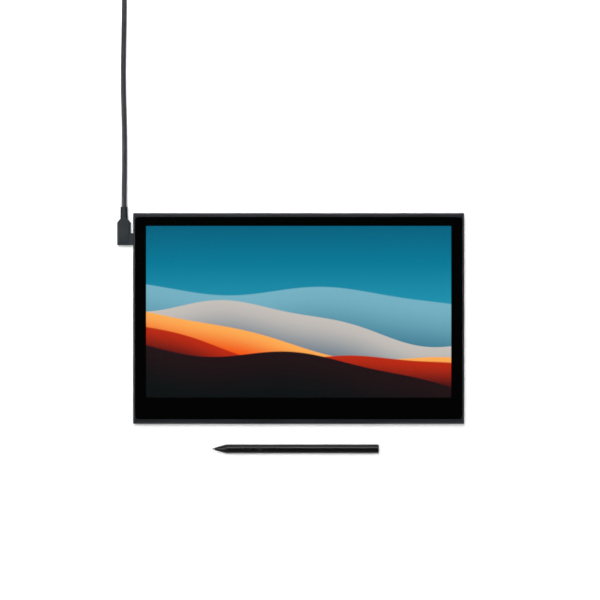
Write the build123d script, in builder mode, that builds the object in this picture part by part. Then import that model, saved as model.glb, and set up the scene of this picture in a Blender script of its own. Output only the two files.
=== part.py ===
from build123d import *
from math import cos, pi, radians, sin, sqrt, tan
import os

# Pen display: a slim tablet with a screen, its angled cable and its battery-free pen.
# Sizes are in millimetres. The desk is z = 0, +X is right and +Y is away from the user.
# The origin lies on the desk under the middle of the tablet and the pen together.

# Picture area, a 14 inch 16 to 9 panel, and the glass border round it
screen_width = 309.3
screen_depth = 174.0
border_side = 11.15
border_back = 9.1
border_front = 21.9

# Tablet body
body_thickness = 10.6
foot_proud = 0.9
corner_radius = 1.2
cut_over = 1.0

# Front frame, with a sloped rim round the glass
frame_height = 2.6
rim_side = 2.2
rim_back = 4.0
rim_front = 4.8
rim_chamfer = 1.6
rim_edge = 0.25
skirt_drop = 1.2
skirt_thickness = 1.0
skirt_gap = 0.1

# Cover glass and the black print behind its border
glass_thickness = 0.8
glass_corner = 3.5
glass_gap = 0.15
glass_edge = 0.2
mask_thickness = 0.12
mask_inset = 0.3
tape_thickness = 0.15
tape_width = 3.2

# Display stack bonded to the glass
bond_thickness = 0.2
bond_gap = 0.02
lcd_thickness = 1.0
lcd_border = 2.4
lcd_driver_border = 7.0
films_thickness = 0.35
guide_thickness = 0.6
reflector_thickness = 0.12
led_width = 2.2
led_gap = 0.1
film_border = 1.4
panel_floor = 0.3
panel_wall = 0.4
panel_gap = 0.2
panel_opening_gap = 0.5
sensor_thickness = 0.4
sensor_border = 2.0
shield_thickness = 0.2

# Rear cover, a moulded tray with a tapered lower edge
cover_wall = 1.5
cover_floor = 1.4
belt_height = 2.5
taper_inset = 3.0
cover_edge = 0.5
rib_thickness = 1.0
rib_rows_share = (-0.24, -0.08)
rib_columns_share = (-0.13, 0.0, 0.13)
rib_row_length = 250.0
rib_column_length = 118.0

# Screws that hold the cover to the frame
screw_radius = 1.0
screw_length = 5.0
screw_head_radius = 1.8
screw_head_height = 1.1
screw_sink = 0.2
screw_key_radius = 0.75
screw_key_depth = 0.6
screw_hole_gap = 0.15
screw_thread_gap = 0.02
screw_from_edge = 6.4
screw_from_front = 8.4
boss_radius = 2.3
seat_radius = 3.2
seat_height = 0.8
side_screw_shares = (0.1, -0.28)
back_screw_share = 0.42
front_screw_share = 0.36

# Rubber feet
strip_length = 250.0
strip_width = 7.0
strip_recess = 0.5
strip_edge = 0.25
front_strip_from_edge = 18.9
rear_strip_from_edge = 13.4

# Fold-out legs in the underside
leg_width = 52.0
leg_tip_width = 42.0
leg_shoulder = 12.0
leg_length = 56.0
leg_thickness = 3.4
leg_sink = 0.3
leg_side_gap = 0.5
leg_end_gap = 0.6
leg_x_share = 0.283
hinge_from_back = 24.9
knuckle_radius = 1.9
knuckle_length = 12.0
knuckle_relief = 0.7
knuckle_gap = 0.3
hinge_rear_gap = 0.8
pin_radius = 1.0
pin_running_gap = 0.05
pin_seat_gap = 0.01
leg_pocket_depth = 1.8
leg_pocket_width = 9.4
leg_pocket_length = 27.0
leg_pocket_pitch = 11.4
leg_pocket_corner = 1.5
tip_length = 6.0
tip_corner = 2.5
leg_edge = 0.3
tongue_length = 3.0
tongue_thickness = 1.4
tongue_width = 30.0
pocket_wall = 1.6
pocket_roof = 0.9
scoop_width = 18.0
scoop_length = 7.0
scoop_corner = 3.0
scoop_depth = 3.0

# Socket and the boards inside
port_from_back = 26.2
port_height = 5.6
port_recess = 0.4
socket_width = 8.94
socket_height = 3.16
socket_wall = 0.3
socket_length = 7.6
socket_back = 1.0
socket_hole_gap = 0.05
tongue_blade_width = 6.69
tongue_blade_height = 0.7
tongue_blade_length = 5.2
board_thickness = 1.0
board_width = 33.0
board_length = 62.0
board_from_side = 5.0
board_port_share = 0.3
board_screw_share = (0.4, 0.42)
board_boss_radius = 2.0
board_screw_radius = 0.7
board_screw_length = 1.5
board_screw_head_radius = 1.3
board_screw_head_height = 0.5
chip_height = 1.1
chip_sizes_share = ((0.3, 0.16), (0.3, 0.16), (0.2, 0.1))
chip_places_share = ((0.18, -0.08), (0.18, -0.29), (-0.2, -0.24))
can_width_share = 0.36
can_length_share = 0.3
can_place_share = (0.2, 0.24)
can_height = 1.6
ribbon_thickness = 0.3
ribbon_width = 12.0
ribbon_place_share = -0.1
connector_height = 1.2
connector_length = 3.0
driver_board_width = 180.0
driver_board_depth = 16.0
driver_board_thickness = 0.8
driver_board_inset = 4.3

# Power button in the right edge
button_from_back = 45.0
button_height = 6.05
button_length = 12.0
button_width = 1.7
button_gap = 0.15
button_proud = 0.3
button_edge = 0.15
button_flange_length = 14.5
button_flange_width = 2.4
button_flange_thickness = 0.8
button_rest_gap = 0.05
button_nub_radius = 0.8
button_nub_length = 0.8
button_travel = 0.5
button_stop_gap = 0.05
switch_length = 3.6
switch_width = 1.8
switch_depth = 1.0
switch_board_length = 18.0
switch_board_height = 4.4
switch_board_thickness = 0.8
switch_rail = 1.2

# Angled plug in the left edge
plug_width = 13.3
plug_height = 7.4
plug_length = 26.5
plug_nose = 6.1
plug_nose_slope = 4.0
plug_nose_drop = 0.8
plug_shoulder = 3.6
plug_bevel_width = 1.9
plug_bevel_height = 1.2
plug_nose_bevel = 0.5
neck_reach = 3.1
neck_width = 12.0
neck_height = 6.4
neck_corner = 1.0
neck_gap = 0.2
shell_width = 8.25
shell_height = 2.4
shell_wall = 0.27
shell_reach = 6.65
shell_root = 3.0
insert_recess = 0.25
insert_slot_width = 6.95
insert_slot_height = 1.0
insert_slot_depth = 5.2
relief_base_width = 7.4
relief_base_height = 6.4
relief_end_width = 6.9
relief_end_height = 5.9
relief_length = 12.4
relief_slots = 5
relief_slot = 1.15
relief_slot_reach = 1.35
relief_slot_pitch = 2.1
relief_rail = 0.5
relief_corner = 2.2
relief_web = 1.0
relief_collar = 1.9

# Cord, a metre and a half from the angled plug's relief to the host plug's relief
cord_diameter = 5.3
cord_length = 1500.0
# Points of the free stretch, measured from the end of the angled plug's relief
cord_run = [
    (0.0, 0.0, 0.0),
    (0.0, 14.0, 0.0),
    (0.0, 36.0, -2.95),
    (0.0, 76.0, -2.95),
    (-1.6, 133.0, -2.95),
    (-0.4, 188.0, -2.95),
    (0.0, 228.0, -2.05),
    (0.0, 251.0, -2.05),
]
# Points of the tail, measured from the end of the coil
cord_tail = [
    (0.0, 0.0, 0.0),
    (12.7, 0.0, 0.0),
    (37.7, 0.0, -6.25),
    (52.7, 0.0, -6.25),
]
run_share_of_arc = 0.45

# Coil of the rest, two layers of three turns that spiral in, climb and spiral out
coil_radius = 38.5
coil_pitch = 5.8
coil_half_turns = 6
cord_sides = 8
coil_sample_step = 1.5

# Strap round the coil
strap_thickness = 0.8
strap_width = 9.0
strap_gap = 0.3
strap_corner = 2.4
strap_lap_share = 0.7

# Straight plug at the host end
host_width = 11.8
host_height = 6.2
host_length = 21.0
host_corner = 2.6
host_edge = 0.6
host_relief_length = 12.0
host_relief_base_radius = 3.0
host_relief_end_radius = 2.85
host_relief_collar = 1.4
host_relief_slot = 0.85
host_relief_slot_depth = 1.5

# Pen, lying in front of the tablet
pen_length = 169.3
pen_diameter = 9.2
pen_gap = 21.5
pen_tip_x = -87.8
nose_start = 2.3
nose_tip_radius = 1.25
nose_cone_length = 11.6
nose_seam = 14.7
nose_inner_start = 10.2
nose_inner_radius = 3.0
spigot_radius = 3.87
spigot_length = 5.0
barrel_wall = 0.7
barrel_edge = 0.15
cap_length = 4.0
cap_edge = 0.5
nib_radius = 0.75
nib_bore_gap = 0.08
nib_travel = 0.35
nib_stop_gap = 0.05
nib_length = 31.8
chassis_gap = 0.05
chassis_start = 20.0
chassis_block_length = 17.0
chassis_flat = 1.0
chassis_flat_start = 30.2
chassis_length = 90.0
coil_seat_radius = 2.7
ferrite_radius = 2.0
winding_length = 9.0
winding_gap = 0.05
sensor_radius = 1.9
sensor_length = 4.0
sensor_gap = 0.05
pen_board_width = 5.6
pen_board_thickness = 1.0
pen_board_length = 62.0
switch_tilt = 22.0
rocker_start = 30.6
rocker_end = 66.6
rocker_width = 4.2
rocker_gap = 0.35
rocker_proud = 0.35
rocker_bottom = 3.0
rocker_split = 0.8
rocker_split_depth = 0.45
rocker_web_length = 5.0
rocker_web_width = 3.2
pivot_height = 2.0
pivot_radius = 0.9
axle_radius = 0.5
axle_running_gap = 0.05
ear_thickness = 0.7
ear_length = 3.0
ear_gap = 0.1
ear_top = 0.8
pen_switch_length = 3.6
pen_switch_width = 3.0
pen_switch_height = 1.3
pen_switch_spread = 9.0
rocker_nub_radius = 0.8
rocker_nub_gap = 0.45

os.makedirs("parts", exist_ok=True)

# Places that follow from the sizes
glass_width = screen_width + 2 * border_side
glass_depth = screen_depth + border_back + border_front
tablet_width = glass_width + 2 * rim_side
tablet_depth = glass_depth + rim_back + rim_front
pen_radius = pen_diameter / 2
tablet_y = (pen_gap + pen_diameter) / 2
pen_y = tablet_y - tablet_depth / 2 - pen_gap - pen_radius
tablet_top = foot_proud + body_thickness
back_edge_y = tablet_y + tablet_depth / 2
front_edge_y = tablet_y - tablet_depth / 2

glass_y = tablet_y + (rim_front - rim_back) / 2
screen_y = glass_y + glass_depth / 2 - border_back - screen_depth / 2

glass_z = tablet_top - glass_thickness
mask_z = glass_z - mask_thickness
ledge_z = mask_z - tape_thickness
bond_z = mask_z - bond_thickness
lcd_z = bond_z - lcd_thickness
films_z = lcd_z - films_thickness
guide_z = films_z - guide_thickness
reflector_z = guide_z - reflector_thickness
panel_z = reflector_z - panel_floor
sensor_z = panel_z - sensor_thickness
shield_z = sensor_z - shield_thickness

lcd_width = screen_width + 2 * lcd_border
lcd_depth = screen_depth + lcd_border + lcd_driver_border
lcd_y = screen_y - (lcd_driver_border - lcd_border) / 2
panel_width = lcd_width + 2 * (panel_gap + panel_wall)
panel_depth = lcd_depth + 2 * (panel_gap + panel_wall)
opening_width = panel_width + 2 * panel_opening_gap
opening_depth = panel_depth + 2 * panel_opening_gap

split_z = tablet_top - frame_height
floor_z = foot_proud + cover_floor
belt_z = foot_proud + belt_height
cavity_width = tablet_width - 2 * cover_wall
cavity_depth = tablet_depth - 2 * cover_wall
boss_z = floor_z + seat_height

hinge_y = back_edge_y - hinge_from_back
leg_z = foot_proud + leg_sink
hinge_z = leg_z + knuckle_radius
pocket_width = leg_width + 2 * leg_side_gap
pocket_back_y = hinge_y + knuckle_radius + hinge_rear_gap
pocket_front_y = hinge_y - leg_length - leg_end_gap
pocket_middle_y = (pocket_back_y + pocket_front_y) / 2
pocket_depth = pocket_back_y - pocket_front_y
pocket_ceiling_z = hinge_z + knuckle_radius + knuckle_gap
scoop_y = pocket_front_y - scoop_length / 2
leg_x = leg_x_share * tablet_width

port_y = back_edge_y - port_from_back
button_y = back_edge_y - button_from_back
side_x = tablet_width / 2

screw_places = [
    (side_x - screw_from_edge, side_screw_shares[0] * tablet_depth),
    (side_x - screw_from_edge, side_screw_shares[1] * tablet_depth),
    (-side_x + screw_from_edge, side_screw_shares[0] * tablet_depth),
    (-side_x + screw_from_edge, side_screw_shares[1] * tablet_depth),
    (back_screw_share * tablet_width, tablet_depth / 2 - screw_from_edge),
    (0, tablet_depth / 2 - screw_from_edge),
    (-back_screw_share * tablet_width, tablet_depth / 2 - screw_from_edge),
    (front_screw_share * tablet_width, -tablet_depth / 2 + screw_from_front),
    (0, -tablet_depth / 2 + screw_from_front),
    (-front_screw_share * tablet_width, -tablet_depth / 2 + screw_from_front),
]


def tablet_level(z):
    # A plane parallel to the desk, centred on the tablet
    return Plane(origin=(0, tablet_y, z))


def glass_level(z):
    return Plane(origin=(0, glass_y, z))


def screen_level(z):
    return Plane(origin=(0, screen_y, z))


def lcd_level(z):
    return Plane(origin=(0, lcd_y, z))


def desk_level(z):
    return Plane(origin=(0, 0, z))


def facing_left(x, y, z):
    return Plane(origin=(x, y, z), x_dir=(0, 1, 0), z_dir=(-1, 0, 0))


def facing_right(x, y, z):
    return Plane(origin=(x, y, z), x_dir=(0, 1, 0), z_dir=(1, 0, 0))


# Front frame
with BuildPart() as front_frame:
    with BuildSketch(tablet_level(split_z)):
        RectangleRounded(tablet_width, tablet_depth, corner_radius)
    extrude(amount=frame_height - rim_chamfer)
    with BuildSketch(tablet_level(tablet_top - rim_chamfer)):
        RectangleRounded(tablet_width, tablet_depth, corner_radius)
    with BuildSketch(tablet_level(tablet_top)):
        RectangleRounded(
            tablet_width - 2 * rim_chamfer, tablet_depth - 2 * rim_chamfer, corner_radius
        )
    loft(ruled=True)
    fillet(front_frame.edges().group_by(Axis.Z)[-1], rim_edge)
    # Skirt that nests inside the rear cover's wall
    with BuildSketch(tablet_level(split_z)):
        Rectangle(cavity_width - 2 * skirt_gap, cavity_depth - 2 * skirt_gap)
        Rectangle(
            cavity_width - 2 * (skirt_gap + skirt_thickness),
            cavity_depth - 2 * (skirt_gap + skirt_thickness),
            mode=Mode.SUBTRACT,
        )
    extrude(amount=-skirt_drop)
    # Screw bosses that stand on the cover's seats
    with BuildSketch(tablet_level(boss_z)):
        with Locations(*screw_places):
            Circle(boss_radius)
    extrude(amount=split_z - boss_z)
    with BuildSketch(tablet_level(boss_z)):
        with Locations(*screw_places):
            Circle(screw_radius + screw_thread_gap)
    extrude(amount=screw_length, mode=Mode.SUBTRACT)
    # Pocket for the glass, then the opening for the panel
    with BuildSketch(glass_level(ledge_z)):
        RectangleRounded(
            glass_width + 2 * glass_gap, glass_depth + 2 * glass_gap, glass_corner + glass_gap
        )
    extrude(amount=tablet_top - ledge_z + cut_over, mode=Mode.SUBTRACT)
    with BuildSketch(lcd_level(split_z)):
        Rectangle(opening_width, opening_depth)
    extrude(amount=ledge_z - split_z, mode=Mode.SUBTRACT)
front_frame.part.label = "front_frame"
export_step(front_frame.part, "parts/front_frame.step")

# Rear cover
scoop_ceiling_z = foot_proud + scoop_depth
cavity_taper_inset = cover_wall + taper_inset
hinge_pin_length = pocket_width + 2 * pocket_wall


def leg_pockets(grow):
    # Outline of the two leg pockets, each side moved out by grow
    with Locations((-leg_x, pocket_middle_y), (leg_x, pocket_middle_y)):
        Rectangle(pocket_width + 2 * grow, pocket_depth + 2 * grow)


def finger_scoops(grow):
    # Outline of the finger scoops in front of the pockets
    with Locations((-leg_x, scoop_y), (leg_x, scoop_y)):
        RectangleRounded(scoop_width + 2 * grow, scoop_length + 2 * grow, scoop_corner)


main_board_z = port_height - socket_height / 2 - board_thickness
main_board_x = -side_x + board_from_side + board_width / 2
main_board_y = port_y - board_port_share * board_length
board_screw_places = [
    (x_side * board_screw_share[0] * board_width, y_side * board_screw_share[1] * board_length)
    for x_side in (-1, 1)
    for y_side in (-1, 1)
]
switch_board_x = (
    side_x
    - cover_wall
    - button_rest_gap
    - button_flange_thickness
    - button_nub_length
    - button_travel
    - button_stop_gap
    - switch_depth
    - switch_board_thickness
)

with BuildPart() as rear_cover:
    with BuildSketch(tablet_level(foot_proud)):
        RectangleRounded(
            tablet_width - 2 * taper_inset, tablet_depth - 2 * taper_inset, corner_radius
        )
    with BuildSketch(tablet_level(belt_z)):
        RectangleRounded(tablet_width, tablet_depth, corner_radius)
    loft(ruled=True)
    fillet(rear_cover.edges().group_by(Axis.Z)[0], cover_edge)
    with BuildSketch(tablet_level(belt_z)):
        RectangleRounded(tablet_width, tablet_depth, corner_radius)
    extrude(amount=split_z - belt_z)
    # Inside of the tray, tapered like the outside
    with BuildSketch(tablet_level(floor_z)):
        Rectangle(tablet_width - 2 * cavity_taper_inset, tablet_depth - 2 * cavity_taper_inset)
    with BuildSketch(tablet_level(belt_z + cover_floor)):
        Rectangle(cavity_width, cavity_depth)
    loft(ruled=True, mode=Mode.SUBTRACT)
    with BuildSketch(tablet_level(belt_z + cover_floor)):
        Rectangle(cavity_width, cavity_depth)
    extrude(amount=split_z - belt_z - cover_floor, mode=Mode.SUBTRACT)
    # Ribs that carry the display stack
    with BuildSketch(tablet_level(floor_z)):
        with Locations(*[(0, share * tablet_depth) for share in rib_rows_share]):
            Rectangle(rib_row_length, rib_thickness)
        with Locations(*[(share * tablet_width, 0) for share in rib_columns_share]):
            Rectangle(rib_thickness, rib_column_length)
    extrude(amount=shield_z - floor_z)
    # Seats under the frame's screw bosses
    with BuildSketch(tablet_level(floor_z)):
        with Locations(*screw_places):
            Circle(seat_radius)
    extrude(amount=boss_z - floor_z)
    # Bosses under the main board
    with BuildSketch(Plane(origin=(main_board_x, main_board_y, floor_z))):
        with Locations(*board_screw_places):
            Circle(board_boss_radius)
    extrude(amount=main_board_z - floor_z)
    # Walls and roofs of the leg pockets and scoops, then the hollows themselves
    with BuildSketch(desk_level(foot_proud)):
        leg_pockets(pocket_wall)
    extrude(amount=pocket_ceiling_z + pocket_roof - foot_proud)
    with BuildSketch(desk_level(foot_proud)):
        finger_scoops(pocket_wall)
    extrude(amount=scoop_ceiling_z + pocket_roof - foot_proud)
    with BuildSketch(desk_level(foot_proud)):
        leg_pockets(0)
    extrude(amount=pocket_ceiling_z - foot_proud, mode=Mode.SUBTRACT)
    with BuildSketch(desk_level(foot_proud)):
        finger_scoops(0)
    extrude(amount=scoop_depth, mode=Mode.SUBTRACT)
    # Seats of the hinge pins in the pocket walls
    for leg_side in (-1, 1):
        with BuildSketch(
            facing_right(leg_side * leg_x - hinge_pin_length / 2, hinge_y, hinge_z)
        ):
            Circle(pin_radius + pin_seat_gap)
        extrude(amount=hinge_pin_length, mode=Mode.SUBTRACT)
    # Rails of the small board behind the power button
    with BuildSketch(
        Plane(origin=(switch_board_x + switch_board_thickness / 2, button_y, floor_z))
    ):
        with Locations(
            (0, (switch_board_length + switch_rail) / 2),
            (0, -(switch_board_length + switch_rail) / 2),
        ):
            Rectangle(switch_board_thickness + 2 * switch_rail, switch_rail)
    extrude(amount=button_height + switch_board_height / 2 - floor_z)
    # Countersunk seats and holes of the case screws
    with BuildSketch(tablet_level(foot_proud)):
        with Locations(*screw_places):
            Circle(screw_head_radius + screw_hole_gap)
    extrude(amount=screw_sink + screw_head_height, mode=Mode.SUBTRACT)
    with BuildSketch(tablet_level(foot_proud)):
        with Locations(*screw_places):
            Circle(screw_radius + screw_hole_gap)
    extrude(amount=boss_z - foot_proud, mode=Mode.SUBTRACT)
    # Threaded holes in the main board's bosses
    with BuildSketch(Plane(origin=(main_board_x, main_board_y, main_board_z))):
        with Locations(*board_screw_places):
            Circle(board_screw_radius + screw_thread_gap)
    extrude(amount=-(board_screw_length - board_thickness), mode=Mode.SUBTRACT)
    # Shallow recesses for the rubber feet
    with BuildSketch(desk_level(foot_proud)):
        with Locations(
            (0, front_edge_y + front_strip_from_edge), (0, back_edge_y - rear_strip_from_edge)
        ):
            SlotOverall(strip_length, strip_width)
    extrude(amount=strip_recess, mode=Mode.SUBTRACT)
    # Hole for the socket in the left wall and for the button in the right wall
    with BuildSketch(facing_left(-side_x, port_y, port_height)):
        SlotOverall(socket_width + 2 * socket_hole_gap, socket_height + 2 * socket_hole_gap)
    extrude(amount=-(cover_wall + taper_inset), mode=Mode.SUBTRACT)
    with BuildSketch(facing_right(side_x, button_y, button_height)):
        SlotOverall(button_length + 2 * button_gap, button_width + 2 * button_gap)
    extrude(amount=-(cover_wall + cut_over), mode=Mode.SUBTRACT)
rear_cover.part.label = "rear_cover"
export_step(rear_cover.part, "parts/rear_cover.step")

# Cover glass
with BuildPart() as cover_glass:
    with BuildSketch(glass_level(glass_z)):
        RectangleRounded(glass_width, glass_depth, glass_corner)
    extrude(amount=glass_thickness)
    chamfer(cover_glass.edges().group_by(Axis.Z)[-1], glass_edge)
cover_glass.part.label = "cover_glass"
export_step(cover_glass.part, "parts/cover_glass.step")

# Black print behind the glass border
with BuildPart() as black_mask:
    with BuildSketch(glass_level(mask_z)):
        RectangleRounded(
            glass_width - 2 * mask_inset, glass_depth - 2 * mask_inset, glass_corner - mask_inset
        )
    extrude(amount=mask_thickness)
    with BuildSketch(screen_level(mask_z)):
        Rectangle(screen_width, screen_depth)
    extrude(amount=mask_thickness, mode=Mode.SUBTRACT)
black_mask.part.label = "black_mask"
export_step(black_mask.part, "parts/black_mask.step")

# Tape that holds the glass on the frame's ledge
with BuildPart() as glass_tape:
    with BuildSketch(glass_level(ledge_z)):
        RectangleRounded(
            glass_width - 2 * mask_inset, glass_depth - 2 * mask_inset, glass_corner - mask_inset
        )
        Rectangle(
            glass_width - 2 * (mask_inset + tape_width),
            glass_depth - 2 * (mask_inset + tape_width),
            mode=Mode.SUBTRACT,
        )
    extrude(amount=tape_thickness)
glass_tape.part.label = "glass_tape"
export_step(glass_tape.part, "parts/glass_tape.step")

# Clear bond that fills the print's window and joins the panel to the glass
with BuildPart() as optical_bond:
    with BuildSketch(screen_level(mask_z)):
        Rectangle(screen_width, screen_depth)
    extrude(amount=mask_thickness - bond_gap)
    with BuildSketch(lcd_level(bond_z)):
        Rectangle(lcd_width, lcd_depth)
    extrude(amount=bond_thickness)
optical_bond.part.label = "optical_bond"
export_step(optical_bond.part, "parts/optical_bond.step")

# Liquid crystal cell, two glass sheets with the drivers' ledge along the front
with BuildPart() as lcd_cell:
    with BuildSketch(lcd_level(lcd_z)):
        Rectangle(lcd_width, lcd_depth)
    extrude(amount=lcd_thickness)
    with BuildSketch(lcd_level(lcd_z + lcd_thickness / 2)):
        with Locations((0, -(lcd_depth - lcd_driver_border / 2) / 2)):
            Rectangle(lcd_width, lcd_driver_border / 2)
    extrude(amount=lcd_thickness / 2, mode=Mode.SUBTRACT)
lcd_cell.part.label = "lcd_cell"
export_step(lcd_cell.part, "parts/lcd_cell.step")

# Diffuser and prism films, light guide and reflector
film_width = screen_width + 2 * film_border
film_depth = screen_depth + 2 * film_border

with BuildPart() as optical_films:
    with BuildSketch(screen_level(films_z)):
        Rectangle(film_width, film_depth)
    extrude(amount=films_thickness)
optical_films.part.label = "optical_films"
export_step(optical_films.part, "parts/optical_films.step")

with BuildPart() as light_guide:
    with BuildSketch(screen_level(guide_z)):
        Rectangle(film_width, film_depth)
    extrude(amount=guide_thickness)
light_guide.part.label = "light_guide"
export_step(light_guide.part, "parts/light_guide.step")

led_y = screen_y - film_depth / 2 - led_gap - led_width / 2

with BuildPart() as reflector_sheet:
    with BuildSketch(screen_level(reflector_z)):
        with Locations((0, -(led_width + led_gap) / 2)):
            Rectangle(film_width, film_depth + led_width + led_gap)
    extrude(amount=reflector_thickness)
reflector_sheet.part.label = "reflector_sheet"
export_step(reflector_sheet.part, "parts/reflector_sheet.step")

# Row of light diodes along the guide's front edge
with BuildPart() as led_bar:
    with BuildSketch(Plane(origin=(0, led_y, guide_z))):
        Rectangle(film_width, led_width)
    extrude(amount=guide_thickness)
led_bar.part.label = "led_bar"
export_step(led_bar.part, "parts/led_bar.step")

# Stamped tray that holds the panel
with BuildPart() as panel_frame:
    with BuildSketch(lcd_level(panel_z)):
        Rectangle(panel_width, panel_depth)
    extrude(amount=bond_z - panel_z)
    with BuildSketch(lcd_level(lcd_z)):
        Rectangle(lcd_width + 2 * panel_gap, lcd_depth + 2 * panel_gap)
    extrude(amount=bond_z - lcd_z, mode=Mode.SUBTRACT)
    with BuildSketch(screen_level(reflector_z)):
        with Locations((0, -(led_width + led_gap) / 2)):
            Rectangle(film_width + 2 * led_gap, film_depth + led_width + 3 * led_gap)
    extrude(amount=lcd_z - reflector_z, mode=Mode.SUBTRACT)
panel_frame.part.label = "panel_frame"
export_step(panel_frame.part, "parts/panel_frame.step")

# Sensor board that finds the pen, and the metal sheet behind it
with BuildPart() as digitizer_board:
    with BuildSketch(screen_level(sensor_z)):
        Rectangle(screen_width + 2 * sensor_border, screen_depth + 2 * sensor_border)
    extrude(amount=sensor_thickness)
digitizer_board.part.label = "digitizer_board"
export_step(digitizer_board.part, "parts/digitizer_board.step")

with BuildPart() as sensor_shield:
    with BuildSketch(screen_level(shield_z)):
        Rectangle(screen_width + 2 * sensor_border, screen_depth + 2 * sensor_border)
    extrude(amount=shield_thickness)
sensor_shield.part.label = "sensor_shield"
export_step(sensor_shield.part, "parts/sensor_shield.step")

# Main board behind the socket
main_board_plane = Plane(origin=(main_board_x, main_board_y, main_board_z))
board_top = main_board_plane.offset(board_thickness)

with BuildPart() as main_board:
    with BuildSketch(main_board_plane):
        Rectangle(board_width, board_length)
        with Locations(*board_screw_places):
            Circle(board_screw_radius + screw_hole_gap, mode=Mode.SUBTRACT)
    extrude(amount=board_thickness)
main_board.part.label = "main_board"
export_step(main_board.part, "parts/main_board.step")

with BuildPart() as board_parts:
    with BuildSketch(board_top):
        for chip_size, chip_place in zip(chip_sizes_share, chip_places_share):
            with Locations((chip_place[0] * board_width, chip_place[1] * board_length)):
                Rectangle(chip_size[0] * board_width, chip_size[1] * board_length)
    extrude(amount=chip_height)
    with BuildSketch(board_top):
        with Locations((can_place_share[0] * board_width, can_place_share[1] * board_length)):
            Rectangle(can_width_share * board_width, can_length_share * board_length)
    extrude(amount=can_height)
    with BuildSketch(board_top):
        with Locations((ribbon_place_share * board_width, -board_length / 2 + 2 * connector_length)):
            Rectangle(ribbon_width, connector_length)
    extrude(amount=connector_height)
board_parts.part.label = "board_parts"
export_step(board_parts.part, "parts/board_parts.step")

with BuildPart() as board_screws:
    with BuildSketch(board_top):
        with Locations(*board_screw_places):
            Circle(board_screw_radius)
    extrude(amount=-board_screw_length)
    with BuildSketch(board_top):
        with Locations(*board_screw_places):
            Circle(board_screw_head_radius)
    extrude(amount=board_screw_head_height)
board_screws.part.label = "board_screws"
export_step(board_screws.part, "parts/board_screws.step")

# Socket of the cable, a drawn shell round a contact blade
socket_mouth_x = -side_x + port_recess
socket_plane = facing_left(socket_mouth_x, port_y, port_height)

with BuildPart() as usb_socket:
    with BuildSketch(socket_plane):
        SlotOverall(socket_width, socket_height)
    extrude(amount=-socket_length)
    with BuildSketch(socket_plane):
        SlotOverall(socket_width - 2 * socket_wall, socket_height - 2 * socket_wall)
    extrude(amount=-(socket_length - socket_back), mode=Mode.SUBTRACT)
usb_socket.part.label = "usb_socket"
export_step(usb_socket.part, "parts/usb_socket.step")

with BuildPart() as usb_blade:
    with BuildSketch(socket_plane.offset(-(socket_length - socket_back))):
        Rectangle(tongue_blade_width, tongue_blade_height)
    extrude(amount=tongue_blade_length)
usb_blade.part.label = "usb_blade"
export_step(usb_blade.part, "parts/usb_blade.step")

# Panel driver board and the ribbon to it, both taped under the shield
driver_y = screen_y - screen_depth / 2 + driver_board_inset
ribbon_x = main_board_x + ribbon_place_share * board_width
ribbon_start_y = main_board_y - board_length / 2 + 2 * connector_length
ribbon_bottom_z = main_board_z + board_thickness + connector_height

with BuildPart() as driver_board:
    with BuildSketch(Plane(origin=(0, driver_y, shield_z))):
        Rectangle(driver_board_width, driver_board_depth)
    extrude(amount=-driver_board_thickness)
driver_board.part.label = "driver_board"
export_step(driver_board.part, "parts/driver_board.step")

with BuildPart() as flat_cable:
    # Upright end in the main board's connector
    with BuildSketch(Plane(origin=(ribbon_x, ribbon_start_y, ribbon_bottom_z))):
        Rectangle(ribbon_width, ribbon_thickness)
    extrude(amount=shield_z - ribbon_bottom_z)
    # Flat stretch under the shield, turned towards the driver board
    with BuildSketch(desk_level(shield_z)):
        with BuildLine():
            Polyline(
                (ribbon_x - ribbon_width / 2, ribbon_start_y + ribbon_thickness / 2),
                (ribbon_x + ribbon_width / 2, ribbon_start_y + ribbon_thickness / 2),
                (ribbon_x + ribbon_width / 2, driver_y + ribbon_width / 2),
                (-driver_board_width / 2, driver_y + ribbon_width / 2),
                (-driver_board_width / 2, driver_y - ribbon_width / 2),
                (ribbon_x - ribbon_width / 2, driver_y - ribbon_width / 2),
                close=True,
            )
        make_face()
    extrude(amount=-ribbon_thickness)
flat_cable.part.label = "flat_cable"
export_step(flat_cable.part, "parts/flat_cable.step")

# Case screws with socket heads
with BuildPart() as case_screws:
    with BuildSketch(tablet_level(foot_proud + screw_sink)):
        with Locations(*screw_places):
            Circle(screw_head_radius)
    extrude(amount=screw_head_height)
    with BuildSketch(tablet_level(foot_proud + screw_sink + screw_head_height)):
        with Locations(*screw_places):
            Circle(screw_radius)
    extrude(amount=screw_length)
    with BuildSketch(tablet_level(foot_proud + screw_sink)):
        with Locations(*screw_places):
            RegularPolygon(screw_key_radius, 6)
    extrude(amount=screw_key_depth, mode=Mode.SUBTRACT)
case_screws.part.label = "case_screws"
export_step(case_screws.part, "parts/case_screws.step")

# Rubber feet, seated in their recesses
with BuildPart() as rubber_feet:
    with BuildSketch(desk_level(foot_proud + strip_recess)):
        with Locations(
            (0, front_edge_y + front_strip_from_edge), (0, back_edge_y - rear_strip_from_edge)
        ):
            SlotOverall(strip_length, strip_width)
    extrude(amount=-(foot_proud + strip_recess))
    chamfer(rubber_feet.edges().group_by(Axis.Z)[0], strip_edge)
rubber_feet.part.label = "rubber_feet"
export_step(rubber_feet.part, "parts/rubber_feet.step")

# Hinge pins of the legs, fixed in the cover
with BuildPart() as hinge_pins:
    for leg_side in (-1, 1):
        with BuildSketch(
            facing_right(leg_side * leg_x - hinge_pin_length / 2, hinge_y, hinge_z)
        ):
            Circle(pin_radius)
        extrude(amount=hinge_pin_length)
hinge_pins.part.label = "hinge_pins"
export_step(hinge_pins.part, "parts/hinge_pins.step")

# Fold-out legs, folded forward in their pockets, with rubber tips
plate_length = leg_length - tip_length

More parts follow.
